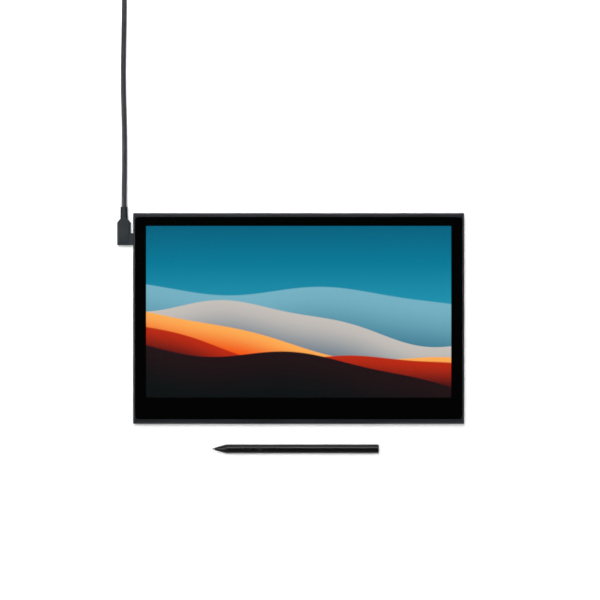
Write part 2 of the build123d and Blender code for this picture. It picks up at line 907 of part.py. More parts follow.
for side_name, leg_side in (("left", -1), ("right", 1)):
    leg_plane = Plane(origin=(leg_side * leg_x, hinge_y, leg_z))
    knuckle_plane = facing_right(leg_side * leg_x - leg_width / 2, hinge_y, hinge_z)

    with BuildPart() as leg:
        with BuildSketch(leg_plane):
            with BuildLine():
                Polyline(
                    (-leg_width / 2, 0),
                    (-leg_width / 2, -leg_shoulder),
                    (-leg_tip_width / 2, -plate_length),
                    (leg_tip_width / 2, -plate_length),
                    (leg_width / 2, -leg_shoulder),
                    (leg_width / 2, 0),
                    close=True,
                )
            make_face()
        extrude(amount=leg_thickness)
        chamfer(leg.edges().group_by(Axis.Z)[0].sort_by(Axis.Y)[:-1], leg_edge)
        # Knuckle over the whole width, opened in the middle round the pin
        with BuildSketch(knuckle_plane):
            Circle(knuckle_radius)
        extrude(amount=leg_width)
        with BuildSketch(leg_plane):
            Rectangle(
                leg_width - 2 * knuckle_length, 2 * (knuckle_radius + knuckle_relief)
            )
        extrude(amount=2 * knuckle_radius, mode=Mode.SUBTRACT)
        with BuildSketch(knuckle_plane):
            Circle(pin_radius + pin_running_gap)
        extrude(amount=leg_width, mode=Mode.SUBTRACT)
        # Hollows between the ribs on the inner side
        with BuildSketch(leg_plane.offset(leg_thickness)):
            with Locations((0, -(plate_length + leg_shoulder) / 2 + tongue_length)):
                with GridLocations(leg_pocket_pitch, 0, 3, 1):
                    RectangleRounded(leg_pocket_width, leg_pocket_length, leg_pocket_corner)
        extrude(amount=-leg_pocket_depth, mode=Mode.SUBTRACT)
        # Tongue that carries the rubber tip
        with BuildSketch(
            Plane(
                origin=(leg_side * leg_x, hinge_y - plate_length, leg_z + leg_thickness / 2),
                x_dir=(1, 0, 0),
                z_dir=(0, -1, 0),
            )
        ):
            Rectangle(tongue_width, tongue_thickness)
        extrude(amount=tongue_length)
    leg.part.label = f"{side_name}_leg"
    export_step(leg.part, f"parts/{side_name}_leg.step")

    with BuildPart() as leg_tip:
        with BuildSketch(leg_plane):
            with Locations((0, -plate_length - tip_length / 2)):
                Rectangle(leg_tip_width, tip_length)
        extrude(amount=leg_thickness)
        fillet(leg_tip.edges().filter_by(Axis.Z).group_by(Axis.Y)[0], tip_corner)
        chamfer(leg_tip.edges().group_by(Axis.Z)[0].sort_by(Axis.Y)[:-1], leg_edge)
        with BuildSketch(
            Plane(
                origin=(leg_side * leg_x, hinge_y - plate_length, leg_z + leg_thickness / 2),
                x_dir=(1, 0, 0),
                z_dir=(0, -1, 0),
            )
        ):
            Rectangle(tongue_width, tongue_thickness)
        extrude(amount=tongue_length, mode=Mode.SUBTRACT)
    leg_tip.part.label = f"{side_name}_leg_tip"
    export_step(leg_tip.part, f"parts/{side_name}_leg_tip.step")

# Power button, with a flange behind the wall and a nub towards its switch
button_inner_x = side_x - cover_wall - button_rest_gap

with BuildPart() as power_button:
    with BuildSketch(facing_right(button_inner_x, button_y, button_height)):
        SlotOverall(button_length, button_width)
    extrude(amount=cover_wall + button_rest_gap + button_proud)
    fillet(power_button.edges().group_by(Axis.X)[-1], button_edge)
    with BuildSketch(facing_right(button_inner_x, button_y, button_height)):
        SlotOverall(button_flange_length, button_flange_width)
    extrude(amount=-button_flange_thickness)
    with BuildSketch(
        facing_right(button_inner_x - button_flange_thickness, button_y, button_height)
    ):
        Circle(button_nub_radius)
    extrude(amount=-button_nub_length)
power_button.part.label = "power_button"
export_step(power_button.part, "parts/power_button.step")

with BuildPart() as button_board:
    with BuildSketch(facing_right(switch_board_x, button_y, button_height)):
        Rectangle(switch_board_length, switch_board_height)
    extrude(amount=switch_board_thickness)
    with BuildSketch(
        facing_right(switch_board_x + switch_board_thickness, button_y, button_height)
    ):
        Rectangle(switch_length, switch_width)
    extrude(amount=switch_depth)
button_board.part.label = "button_board"
export_step(button_board.part, "parts/button_board.step")

# Angled plug of the cable
neck_face_x = -side_x - neck_gap
plug_right_x = -side_x - neck_reach
plug_x = plug_right_x - plug_width / 2
plug_front_y = port_y - plug_nose
plug_back_y = plug_front_y + plug_length
plug_profile = Plane(origin=(plug_x, 0, port_height), x_dir=(0, 1, 0), z_dir=(1, 0, 0))

with BuildPart() as angled_plug:
    with BuildSketch(Plane(origin=(plug_x, 0, port_height - plug_height / 2))):
        with BuildLine():
            Polyline(
                (-plug_width / 2, plug_front_y),
                (plug_width / 2, plug_front_y),
                (plug_width / 2, plug_back_y - plug_shoulder),
                (relief_base_width / 2, plug_back_y),
                (-relief_base_width / 2, plug_back_y),
                (-plug_width / 2, plug_back_y - plug_shoulder),
                close=True,
            )
        make_face()
    extrude(amount=plug_height)
    # Bevels along the sides and shoulders, not at the back face
    for flat in (angled_plug.faces().sort_by(Axis.Z)[-1], angled_plug.faces().sort_by(Axis.Z)[0]):
        chamfer(
            flat.edges().sort_by(Axis.Y)[1:-1],
            length=plug_bevel_width,
            length2=plug_bevel_height,
            reference=flat,
        )
    # Side profile with a nose that slopes down to its end
    with BuildSketch(plug_profile):
        with BuildLine():
            Polyline(
                (plug_front_y, -plug_height / 2 + plug_nose_drop),
                (plug_front_y + plug_nose_slope, -plug_height / 2),
                (plug_back_y, -plug_height / 2),
                (plug_back_y, plug_height / 2),
                (plug_front_y + plug_nose_slope, plug_height / 2),
                (plug_front_y, plug_height / 2 - plug_nose_drop),
                close=True,
            )
        make_face()
    extrude(amount=plug_width, both=True, mode=Mode.INTERSECT)
    chamfer(
        angled_plug.edges().group_by(Axis.Y)[0].filter_by(Axis.Z), plug_nose_bevel
    )
    # Neck towards the tablet
    with BuildSketch(facing_right(plug_x, port_y, port_height)):
        RectangleRounded(neck_width, neck_height, neck_corner)
    extrude(amount=neck_face_x - plug_x)
    # Root of the metal shell
    with BuildSketch(facing_right(neck_face_x - shell_root, port_y, port_height)):
        SlotOverall(shell_width, shell_height)
    extrude(amount=shell_root, mode=Mode.SUBTRACT)
angled_plug.part.label = "angled_plug"
export_step(angled_plug.part, "parts/angled_plug.step")

# Strain relief of the angled plug, a tapered sleeve with pockets beside the cord
relief_end_y = plug_back_y + relief_length


def behind_plug(distance):
    # A plane across the sleeve, at a distance behind the plug
    return Plane(
        origin=(plug_x, plug_back_y + distance, port_height), x_dir=(1, 0, 0), z_dir=(0, 1, 0)
    )


with BuildPart() as strain_relief:
    with BuildSketch(behind_plug(0)):
        RectangleRounded(relief_base_width, relief_base_height, relief_corner)
    with BuildSketch(behind_plug(relief_length)):
        RectangleRounded(relief_end_width, relief_end_height, relief_corner)
    loft(ruled=True)
    # Pockets from above and below that leave outer rails and a web in the middle
    for side_up in (-1, 1):
        with BuildSketch(
            Plane(origin=(plug_x, plug_back_y, port_height + side_up * relief_web / 2))
        ):
            for slot_number in range(relief_slots):
                slot_at = relief_collar + relief_slot / 2 + relief_slot_pitch * slot_number
                slot_out = relief_end_width / 2 - relief_rail - relief_slot_reach / 2
                with Locations((slot_out, slot_at), (-slot_out, slot_at)):
                    Rectangle(relief_slot_reach, relief_slot)
        extrude(amount=side_up * relief_base_height, mode=Mode.SUBTRACT)
strain_relief.part.label = "strain_relief"
export_step(strain_relief.part, "parts/strain_relief.step")

# Cord: the free stretch, laid on the desk
cord_radius = cord_diameter / 2


def route_from(start, steps):
    return [Vector(*start) + Vector(*step) for step in steps]


def route_radii(points):
    # Each arc is as large as its two runs allow
    radii = []
    for before, corner, after in zip(points, points[1:], points[2:]):
        arriving = corner - before
        leaving = after - corner
        half_turn = radians(arriving.get_angle(leaving)) / 2
        shorter = min(arriving.length, leaving.length)
        radii.append(run_share_of_arc * shorter / tan(half_turn))
    return radii


def report_tube(name, tube, line):
    # The tube's volume against its section times its length
    ratio = tube.volume / (pi * cord_radius**2 * line.length)
    print(f"{name}: {line.length:.1f} mm long, volume ratio {ratio:.4f}")


run_route = route_from((plug_x, relief_end_y, port_height), cord_run)
run_radii = route_radii(run_route)
print("free stretch radii", [round(radius) for radius in run_radii])

with BuildPart() as cable_run:
    with BuildLine() as run_line:
        FilletPolyline(*run_route, radius=run_radii)
    with BuildSketch(Plane(origin=run_route[0], x_dir=(1, 0, 0), z_dir=(0, 1, 0))):
        Circle(cord_radius)
    sweep()
cable_run.part.label = "cable_run"
export_step(cable_run.part, "parts/cable_run.step")
run_path = run_line.wires()[0]
report_tube("cable_run", cable_run.part, run_path)

# Coil: half turns that step in by half a pitch, a climb, and half turns that step out again
coil_start = run_route[-1]
coil_x = coil_start.X + coil_radius
coil_y = coil_start.Y + cord_diameter
lower_z = coil_start.Z
upper_z = lower_z + coil_pitch
inner_steps = coil_half_turns - 1


def half_turn(start, heading, radius):
    # A level half turn to the right, from a heading of +Y or -Y
    centre = start + Vector(heading * radius, 0, 0)
    top = centre + Vector(0, heading * radius, 0)
    end = centre + Vector(heading * radius, 0, 0)
    ThreePointArc(start, top, end)
    return end


def climbing_half_turn(start, heading, radius, rise):
    # Two arcs that turn back and climb by one layer, level at both ends
    end = start + Vector(heading * 2 * radius, 0, rise)
    across = end - start
    reach = across.length / 2
    middle = (start + end) * (1 / 2) + Vector(0, heading * reach, 0)
    TangentArc(start, middle, tangent=(0, heading, 0))
    TangentArc(middle, end, tangent=across.normalized())
    return end


with BuildPart() as cable_coil:
    with BuildLine() as coil_line:
        here = coil_start + Vector(0, cord_diameter, 0)
        Line(coil_start, here)
        direction = 1
        for step_in in range(coil_half_turns):
            here = half_turn(here, direction, coil_radius - step_in * coil_pitch / 2)
            direction = -direction
        climb_radius = coil_radius - coil_half_turns * coil_pitch / 2
        here = climbing_half_turn(here, direction, climb_radius, coil_pitch)
        direction = -direction
        for step_out in range(inner_steps, 0, -1):
            here = half_turn(here, direction, coil_radius - step_out * coil_pitch / 2)
            direction = -direction
        last_quarter = here + Vector(coil_radius, coil_radius, 0)
        TangentArc(here, last_quarter, tangent=(0, 1, 0))
        coil_end = last_quarter + Vector(cord_diameter, 0, 0)
        Line(last_quarter, coil_end)
    with BuildSketch(Plane(origin=coil_start, x_dir=(1, 0, 0), z_dir=(0, 1, 0))):
        RegularPolygon(cord_radius, cord_sides)
    sweep()
cable_coil.part.label = "cable_coil"
export_step(cable_coil.part, "parts/cable_coil.step")

coil_wire = coil_line.wires()[0]
coil_length = coil_wire.length
coil_samples = int(coil_length / coil_sample_step)
coil_points = [coil_wire.position_at(number / coil_samples) for number in range(coil_samples + 1)]
own_turn = int(pi * climb_radius / coil_sample_step)
least_gap = (
    min(
        (first - second).length
        for number, first in enumerate(coil_points)
        for second in coil_points[number + own_turn :]
    )
    - cord_diameter
)
print(f"cable_coil: {coil_length:.1f} mm long, tightest turn {climb_radius:.1f} mm")
print(f"cable_coil: least gap to itself {least_gap:.2f} mm")

# Tail from the coil down to the host plug
tail_route = route_from(coil_end, cord_tail)
tail_radii = route_radii(tail_route)
print("tail radii", [round(radius) for radius in tail_radii])

with BuildPart() as cable_tail:
    with BuildLine() as tail_line:
        FilletPolyline(*tail_route, radius=tail_radii)
    with BuildSketch(Plane(origin=tail_route[0], x_dir=(0, 1, 0), z_dir=(1, 0, 0))):
        Circle(cord_radius)
    sweep()
cable_tail.part.label = "cable_tail"
export_step(cable_tail.part, "parts/cable_tail.step")
tail_path = tail_line.wires()[0]
report_tube("cable_tail", cable_tail.part, tail_path)
whole_cord = run_path.length + coil_length + tail_path.length
print(f"cord: {whole_cord:.1f} mm of {cord_length:.0f} mm")

# Strap round the near side of the coil, lapped over itself on top
strap_outer = coil_radius - coil_pitch / 2 + cord_radius + strap_gap
strap_inner_turn = coil_radius - inner_steps * coil_pitch / 2 - cord_radius
strap_half_reach = (strap_width + coil_pitch) / 2
strap_inner = sqrt(strap_inner_turn**2 - strap_half_reach**2) - strap_gap
strap_inside_height = upper_z + cord_radius - strap_thickness + strap_gap
strap_middle_y = coil_y - (strap_outer + strap_inner) / 2
strap_span = strap_outer - strap_inner
strap_plane = facing_right(
    coil_x - strap_width / 2, strap_middle_y, strap_thickness + strap_inside_height / 2
)

with BuildPart() as cable_strap:
    with BuildSketch(strap_plane):
        RectangleRounded(
            strap_span + 2 * strap_thickness,
            strap_inside_height + 2 * strap_thickness,
            strap_corner + strap_thickness,
        )
        RectangleRounded(strap_span, strap_inside_height, strap_corner, mode=Mode.SUBTRACT)
    extrude(amount=strap_width)
    with BuildSketch(
        Plane(origin=(coil_x, strap_middle_y, strap_inside_height + 2 * strap_thickness))
    ):
        Rectangle(strap_width, strap_lap_share * strap_span)
    extrude(amount=strap_thickness)
cable_strap.part.label = "cable_strap"
export_step(cable_strap.part, "parts/cable_strap.step")

# Straight plug at the host end, lying beside the coil
host_start = tail_route[-1]
host_relief_plane = Plane(origin=host_start)
host_body_x = host_start.X + host_relief_length
host_y = host_start.Y
host_z = host_start.Z

with BuildPart() as host_relief:
    with BuildSketch(host_relief_plane):
        with BuildLine():
            Polyline(
                (0, 0),
                (0, host_relief_end_radius),
                (host_relief_length - host_relief_collar, host_relief_base_radius),
                (host_relief_length, host_relief_base_radius),
                (host_relief_length, 0),
                close=True,
            )
        make_face()
    revolve(axis=Axis(tuple(host_start), (1, 0, 0)))
    with BuildSketch(host_relief_plane):
        for slot_number in range(relief_slots):
            slot_at = relief_slot_pitch * (slot_number + 1 / 2)
            with Locations(
                (slot_at, host_relief_base_radius), (slot_at, -host_relief_base_radius)
            ):
                Rectangle(host_relief_slot, host_relief_slot_depth)
    extrude(amount=host_relief_base_radius + cut_over, both=True, mode=Mode.SUBTRACT)
host_relief.part.label = "host_relief"
export_step(host_relief.part, "parts/host_relief.step")

with BuildPart() as host_plug:
    with BuildSketch(facing_right(host_body_x, host_y, host_z)):
        RectangleRounded(host_width, host_height, host_corner)
    extrude(amount=host_length)
    chamfer(host_plug.faces().sort_by(Axis.X)[0].edges(), host_edge)
    chamfer(host_plug.faces().sort_by(Axis.X)[-1].edges(), host_edge)
    with BuildSketch(facing_right(host_body_x + host_length - shell_root, host_y, host_z)):
        SlotOverall(shell_width, shell_height)
    extrude(amount=shell_root, mode=Mode.SUBTRACT)
host_plug.part.label = "host_plug"
export_step(host_plug.part, "parts/host_plug.step")

# Metal shell and contact carrier of each plug, from the root inside the plug to the mouth
plug_mouth = facing_right(neck_face_x + shell_reach, port_y, port_height)
host_mouth = facing_right(host_body_x + host_length + shell_reach, host_y, host_z)

for plug_name, mouth_plane in (("plug", plug_mouth), ("host", host_mouth)):
    with BuildPart() as metal_shell:
        with BuildSketch(mouth_plane):
            SlotOverall(shell_width, shell_height)
            SlotOverall(
                shell_width - 2 * shell_wall, shell_height - 2 * shell_wall, mode=Mode.SUBTRACT
            )
        extrude(amount=-(shell_reach + shell_root))
    metal_shell.part.label = f"{plug_name}_shell"
    export_step(metal_shell.part, f"parts/{plug_name}_shell.step")

    with BuildPart() as contact_carrier:
        with BuildSketch(mouth_plane.offset(-insert_recess)):
            SlotOverall(shell_width - 2 * shell_wall, shell_height - 2 * shell_wall)
        extrude(amount=-(shell_reach + shell_root - insert_recess))
        with BuildSketch(mouth_plane.offset(-insert_recess)):
            Rectangle(insert_slot_width, insert_slot_height)
        extrude(amount=-insert_slot_depth, mode=Mode.SUBTRACT)
    contact_carrier.part.label = f"{plug_name}_insert"
    export_step(contact_carrier.part, f"parts/{plug_name}_insert.step")

# Pen, on its side along X, with its switch tilted towards the tablet
pen_plane = Plane(origin=(pen_tip_x, pen_y, pen_radius))
pen_axis = Axis((pen_tip_x, pen_y, pen_radius), (1, 0, 0))
barrel_inner = pen_radius - barrel_wall
barrel_end = pen_length - cap_length
rocker_middle = (rocker_start + rocker_end) / 2
rocker_length = rocker_end - rocker_start
tilt_side = sin(radians(switch_tilt))
tilt_up = cos(radians(switch_tilt))
switch_plane = Plane(
    origin=(pen_tip_x + rocker_middle, pen_y, pen_radius),
    x_dir=(1, 0, 0),
    z_dir=(0, tilt_side, tilt_up),
)


def pen_section(distance):
    # A plane across the pen, at a distance from its tip, turned with the switch
    return Plane(
        origin=(pen_tip_x + distance, pen_y, pen_radius),
        x_dir=(0, tilt_up, -tilt_side),
        z_dir=(1, 0, 0),
    )


with BuildPart() as pen_nose:
    with BuildSketch(pen_plane):
        with BuildLine():
            Polyline(
                (nose_start, nib_radius + nib_bore_gap),
                (nose_start, nose_tip_radius),
                (nose_start + nose_cone_length, pen_radius),
                (nose_seam, pen_radius),
                (nose_seam, spigot_radius),
                (nose_seam + spigot_length, spigot_radius),
                (nose_seam + spigot_length, nose_inner_radius),
                (nose_seam, nose_inner_radius),
                (nose_inner_start, nib_radius + nib_bore_gap),
                close=True,
            )
        make_face()
    revolve(axis=pen_axis)
pen_nose.part.label = "pen_nose"
export_step(pen_nose.part, "parts/pen_nose.step")

with BuildPart() as pen_nib:
    with BuildSketch(pen_plane):
        with BuildLine():
            ThreePointArc(
                (0, 0),
                (nib_radius * (1 - cos(pi / 4)), nib_radius * sin(pi / 4)),
                (nib_radius, nib_radius),
            )
            Polyline(
                (nib_radius, nib_radius),
                (nib_length, nib_radius),
                (nib_length, 0),
                (0, 0),
            )
        make_face()
    revolve(axis=pen_axis)
pen_nib.part.label = "pen_nib"
export_step(pen_nib.part, "parts/pen_nib.step")

with BuildPart() as pen_barrel:
    with BuildSketch(pen_plane):
        with BuildLine():
            Polyline(
                (nose_seam, barrel_inner),
                (nose_seam, pen_radius - barrel_edge),
                (nose_seam + barrel_edge, pen_radius),
                (barrel_end - barrel_edge, pen_radius),
                (barrel_end, pen_radius - barrel_edge),
                (barrel_end, barrel_inner),
                close=True,
            )
        make_face()
    revolve(axis=pen_axis)
    # Window for the rocker
    with BuildSketch(switch_plane):
        SlotOverall(rocker_length, rocker_width)
    extrude(amount=pen_radius + cut_over, mode=Mode.SUBTRACT)
pen_barrel.part.label = "pen_barrel"
export_step(pen_barrel.part, "parts/pen_barrel.step")

with BuildPart() as pen_end_cap:
    with BuildSketch(pen_plane):
        with BuildLine():
            Polyline(
                (barrel_end - spigot_length, 0),
                (barrel_end - spigot_length, spigot_radius),
                (barrel_end, spigot_radius),
                (barrel_end, pen_radius - barrel_edge),
                (barrel_end + barrel_edge, pen_radius),
                (pen_length - cap_edge, pen_radius),
                (pen_length, pen_radius - cap_edge),
                (pen_length, 0),
                close=True,
            )
        make_face()
    revolve(axis=pen_axis)
pen_end_cap.part.label = "pen_end_cap"
export_step(pen_end_cap.part, "parts/pen_end_cap.step")

# Chassis inside the pen: a block round coil and sensor, then a half-round tray for the board
chassis_radius = barrel_inner - chassis_gap
board_level = -pen_board_thickness / 2
chassis_tray_start = chassis_start + chassis_block_length
ear_inner = rocker_web_width / 2 + ear_gap
coil_end_at = chassis_start + winding_length
sensor_start = nib_length + nib_travel + nib_stop_gap

with BuildPart() as pen_chassis:
    with BuildSketch(pen_section(chassis_start)):
        Circle(chassis_radius)
    extrude(amount=chassis_length)
    # Everything above the board is open behind the block
    with BuildSketch(pen_section(chassis_tray_start)):
        with Locations((0, board_level + chassis_radius)):
            Rectangle(2 * chassis_radius, 2 * chassis_radius)
    extrude(amount=chassis_length, mode=Mode.SUBTRACT)
    # The block's back end is a cradle, low enough for the rocker
    with BuildSketch(pen_section(chassis_flat_start)):
        with Locations((0, chassis_flat + chassis_radius)):
            Rectangle(2 * chassis_radius, 2 * chassis_radius)
    extrude(amount=chassis_tray_start - chassis_flat_start, mode=Mode.SUBTRACT)
    # Ears for the rocker's axle
    with BuildSketch(switch_plane.offset(board_level)):
        with Locations(
            (0, ear_inner + ear_thickness / 2), (0, -ear_inner - ear_thickness / 2)
        ):
            Rectangle(ear_length, ear_thickness)
    extrude(amount=pivot_height + ear_top - board_level)
    # Bores for the coil, the nib and the pressure sensor
    with BuildSketch(pen_section(chassis_start)):
        Circle(coil_seat_radius)
    extrude(amount=winding_length, mode=Mode.SUBTRACT)
    with BuildSketch(pen_section(coil_end_at)):
        Circle(sensor_radius + sensor_gap)
    extrude(amount=sensor_start + sensor_length - coil_end_at, mode=Mode.SUBTRACT)
    # Axle holes
    with BuildSketch(
        Plane(
            origin=switch_plane.from_local_coords((0, -chassis_radius, pivot_height)),
            x_dir=(1, 0, 0),
            z_dir=tuple(switch_plane.y_dir),
        )
    ):
        Circle(axle_radius + axle_running_gap)
    extrude(amount=2 * chassis_radius, mode=Mode.SUBTRACT)
pen_chassis.part.label = "pen_chassis"
export_step(pen_chassis.part, "parts/pen_chassis.step")

# Ferrite sleeve with its winding, and the sensor behind the nib
with BuildPart() as pen_ferrite:
    with BuildSketch(pen_section(chassis_start)):
        Circle(ferrite_radius)
        Circle(nib_radius + nib_bore_gap, mode=Mode.SUBTRACT)
    extrude(amount=winding_length)
pen_ferrite.part.label = "pen_ferrite"
export_step(pen_ferrite.part, "parts/pen_ferrite.step")

with BuildPart() as pen_winding:
    with BuildSketch(pen_section(chassis_start)):
        Circle(coil_seat_radius - winding_gap)
        Circle(ferrite_radius, mode=Mode.SUBTRACT)
    extrude(amount=winding_length)
pen_winding.part.label = "pen_winding"
export_step(pen_winding.part, "parts/pen_winding.step")

with BuildPart() as pressure_sensor:
    with BuildSketch(pen_section(sensor_start)):
        Circle(sensor_radius)
    extrude(amount=sensor_length)
pressure_sensor.part.label = "pressure_sensor"
export_step(pressure_sensor.part, "parts/pressure_sensor.step")

# Pen board with the two switches under the rocker
pen_switch_top = board_level + pen_board_thickness + pen_switch_height

with BuildPart() as pen_board:
    with BuildSketch(switch_plane.offset(board_level)):
        with Locations((chassis_tray_start + pen_board_length / 2 - rocker_middle, 0)):
            Rectangle(pen_board_length, pen_board_width)
        with Locations((0, ear_inner + ear_thickness / 2), (0, -ear_inner - ear_thickness / 2)):
            Rectangle(ear_length, ear_thickness, mode=Mode.SUBTRACT)
    extrude(amount=pen_board_thickness)
pen_board.part.label = "pen_board"
export_step(pen_board.part, "parts/pen_board.step")

with BuildPart() as pen_switches:
    with BuildSketch(switch_plane.offset(board_level + pen_board_thickness)):
        with Locations((pen_switch_spread, 0), (-pen_switch_spread, 0)):
            Rectangle(pen_switch_length, pen_switch_width)
    extrude(amount=pen_switch_height)
pen_switches.part.label = "pen_switches"
export_step(pen_switches.part, "parts/pen_switches.step")

# Rocker of the side switch, crowned like the barrel and notched between its two ends
with BuildPart() as pen_rocker:
    with BuildSketch(switch_plane.offset(rocker_bottom)):
        SlotOverall(rocker_length - 2 * rocker_gap, rocker_width - 2 * rocker_gap)
    extrude(amount=pen_diameter)
    with BuildSketch(pen_section(rocker_start)):
        Circle(pen_radius + rocker_proud)
    extrude(amount=rocker_length, mode=Mode.INTERSECT)
    with BuildSketch(switch_plane.offset(pen_radius + rocker_proud - rocker_split_depth)):
        Rectangle(rocker_split, rocker_width)
    extrude(amount=pen_radius, mode=Mode.SUBTRACT)
    with BuildSketch(switch_plane.offset(pivot_height)):
        Rectangle(rocker_web_length, rocker_web_width)
    extrude(amount=rocker_bottom - pivot_height)
    # Nubs that press the two switches
    with BuildSketch(switch_plane.offset(pen_switch_top + rocker_nub_gap)):
        with Locations((pen_switch_spread, 0), (-pen_switch_spread, 0)):
            Circle(rocker_nub_radius)
    extrude(amount=rocker_bottom - pen_switch_top - rocker_nub_gap)
    with BuildSketch(
        Plane(
            origin=switch_plane.from_local_coords((0, -rocker_web_width / 2, pivot_height)),
            x_dir=(1, 0, 0),
            z_dir=tuple(switch_plane.y_dir),
        )
    ):
        Circle(pivot_radius)
    extrude(amount=rocker_web_width)
    with BuildSketch(
        Plane(
            origin=switch_plane.from_local_coords(
                (0, -ear_inner - ear_thickness, pivot_height)
            ),
            x_dir=(1, 0, 0),
            z_dir=tuple(switch_plane.y_dir),
        )
    ):
        Circle(axle_radius)
    extrude(amount=2 * (ear_inner + ear_thickness))
pen_rocker.part.label = "pen_rocker"
export_step(pen_rocker.part, "parts/pen_rocker.step")
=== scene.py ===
from math import cos, pi, sin

import bmesh
import bpy
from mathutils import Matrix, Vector


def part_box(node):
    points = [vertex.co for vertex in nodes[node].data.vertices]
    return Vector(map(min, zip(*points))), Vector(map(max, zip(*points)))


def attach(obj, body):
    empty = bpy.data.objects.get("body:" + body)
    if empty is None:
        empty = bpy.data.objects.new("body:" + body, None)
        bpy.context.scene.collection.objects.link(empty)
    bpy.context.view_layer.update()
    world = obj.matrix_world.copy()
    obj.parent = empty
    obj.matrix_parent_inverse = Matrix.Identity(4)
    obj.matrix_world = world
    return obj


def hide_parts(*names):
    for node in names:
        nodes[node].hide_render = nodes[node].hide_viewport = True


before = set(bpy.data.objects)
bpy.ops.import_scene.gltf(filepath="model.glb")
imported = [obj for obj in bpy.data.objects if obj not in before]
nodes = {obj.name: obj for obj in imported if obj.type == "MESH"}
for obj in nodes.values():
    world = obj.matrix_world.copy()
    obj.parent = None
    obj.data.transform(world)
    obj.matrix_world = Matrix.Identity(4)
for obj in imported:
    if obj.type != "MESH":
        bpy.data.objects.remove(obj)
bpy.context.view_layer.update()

print("packed model loaded,", len(nodes), "nodes")


# Small helpers for picking and shaping

def deselectAll():
    bpy.ops.object.select_all(action="DESELECT")


def pickOnly(piece):
    deselectAll()
    piece.select_set(True)
    bpy.context.view_layer.objects.active = piece


def applyModifier(piece, kind, **values):
    pickOnly(piece)
    modifier = piece.modifiers.new(kind.title(), kind)
    for key, value in values.items():
        setattr(modifier, key, value)
    bpy.ops.object.modifier_apply(modifier=modifier.name)


def settle(piece, smoothAngle=0.6):
    # The piece's place goes into its mesh
    pickOnly(piece)
    bpy.ops.object.transform_apply(location=True, rotation=True, scale=True)
    bpy.ops.object.shade_smooth_by_angle(angle=smoothAngle)


displayCurve = {"white": 255, "straightBelow": 0.04045, "slope": 12.92, "offset": 0.055, "power": 2.4}


def linearLight(level):
    share = level / displayCurve["white"]
    if share < displayCurve["straightBelow"]:
        return share / displayCurve["slope"]
    return ((share + displayCurve["offset"]) / (1 + displayCurve["offset"])) ** displayCurve["power"]


def shown(red, green, blue):
    # A colour as a display shows it, 0 to 255, as linear light
    return tuple(linearLight(level) for level in (red, green, blue))


# Camera, straight above the glass

cameraPlace = {
    "x": 0.00137,
    "y": 0.0341,
    "height": 1.1115,
    "glassLevel": 0.0115,
    "halfView": 0.3039,  # half of what the frame takes in at the glass
    "sensor": 36.0,
}

deselectAll()
cameraAt = (cameraPlace["x"], cameraPlace["y"], cameraPlace["height"])
bpy.ops.object.camera_add(location=cameraAt, rotation=(0, 0, 0))
camera = bpy.context.object
camera.name = "viewFromAbove"
camera.data.sensor_width = cameraPlace["sensor"]
throw = cameraPlace["height"] - cameraPlace["glassLevel"]
camera.data.lens = cameraPlace["sensor"] / 2 * throw / cameraPlace["halfView"]
camera.data.dof.use_dof = False
bpy.context.scene.camera = camera
print("camera placed")


# Cord: a free stretch, two layers of coil and a tail, on one smooth line

cordLook = {
    "exit": (-0.17775, 0.12885, 0.0056),  # end of the angled plug's relief
    "run": [
        (0.0, 0.0, 0.0),
        (0.0, 0.014, 0.0),
        (0.0, 0.036, -0.00295),
        (0.0, 0.076, -0.00295),
        (-0.0016, 0.133, -0.00295),
        (-0.0004, 0.188, -0.00295),
        (0.0, 0.228, -0.00205),
        (0.0, 0.251, -0.00205),
    ],
    "tail": [
        (0.0, 0.0, 0.0),
        (0.0127, 0.0, 0.0),
        (0.0377, 0.0, -0.00625),
        (0.0527, 0.0, -0.00625),
    ],
    "diameter": 0.0053,
    "length": 1.5,
    "coilRadius": 0.0385,
    "pitch": 0.0058,
    "halfTurns": 6,
    "pointsPerHalfTurn": 9,
    "order": 3,
    "stepsAlong": 6,
    "stepsRound": 5,
}


def turnPoints(start, heading, radius, rise=0.0, share=1.0):
    # Points round a turn to the right, half a step from its ends, where its own tangents cross
    count = cordLook["pointsPerHalfTurn"]
    reach = radius / cos(pi / (2 * count))
    points = []
    for number in range(int(count * share)):
        angle = pi * (number + 0.5) / count
        sideways = heading * (radius - reach * cos(angle))
        onward = heading * reach * sin(angle)
        points.append(start + Vector((sideways, onward, rise * (1 - cos(angle)) / 2)))
    end = start + Vector((heading * 2 * radius, 0, rise))
    return points, end


def cordRoute():
    exitPoint = Vector(cordLook["exit"])
    points = [exitPoint + Vector(step) for step in cordLook["run"]]
    here = points[-1] + Vector((0, cordLook["diameter"], 0))
    heading = 1
    halfPitch = cordLook["pitch"] / 2
    for stepIn in range(cordLook["halfTurns"]):
        turn, here = turnPoints(here, heading, cordLook["coilRadius"] - stepIn * halfPitch)
        points += turn
        heading = -heading
    climbRadius = cordLook["coilRadius"] - cordLook["halfTurns"] * halfPitch
    turn, here = turnPoints(here, heading, climbRadius, rise=cordLook["pitch"])
    points += turn
    heading = -heading
    for stepOut in range(cordLook["halfTurns"] - 1, 0, -1):
        turn, here = turnPoints(here, heading, cordLook["coilRadius"] - stepOut * halfPitch)
        points += turn
        heading = -heading
    lastTurn = turnPoints(here, heading, cordLook["coilRadius"], share=0.5)[0]
    coilEnd = here + Vector((cordLook["coilRadius"] + cordLook["diameter"], cordLook["coilRadius"], 0))
    return points + lastTurn + [coilEnd + Vector(step) for step in cordLook["tail"]]


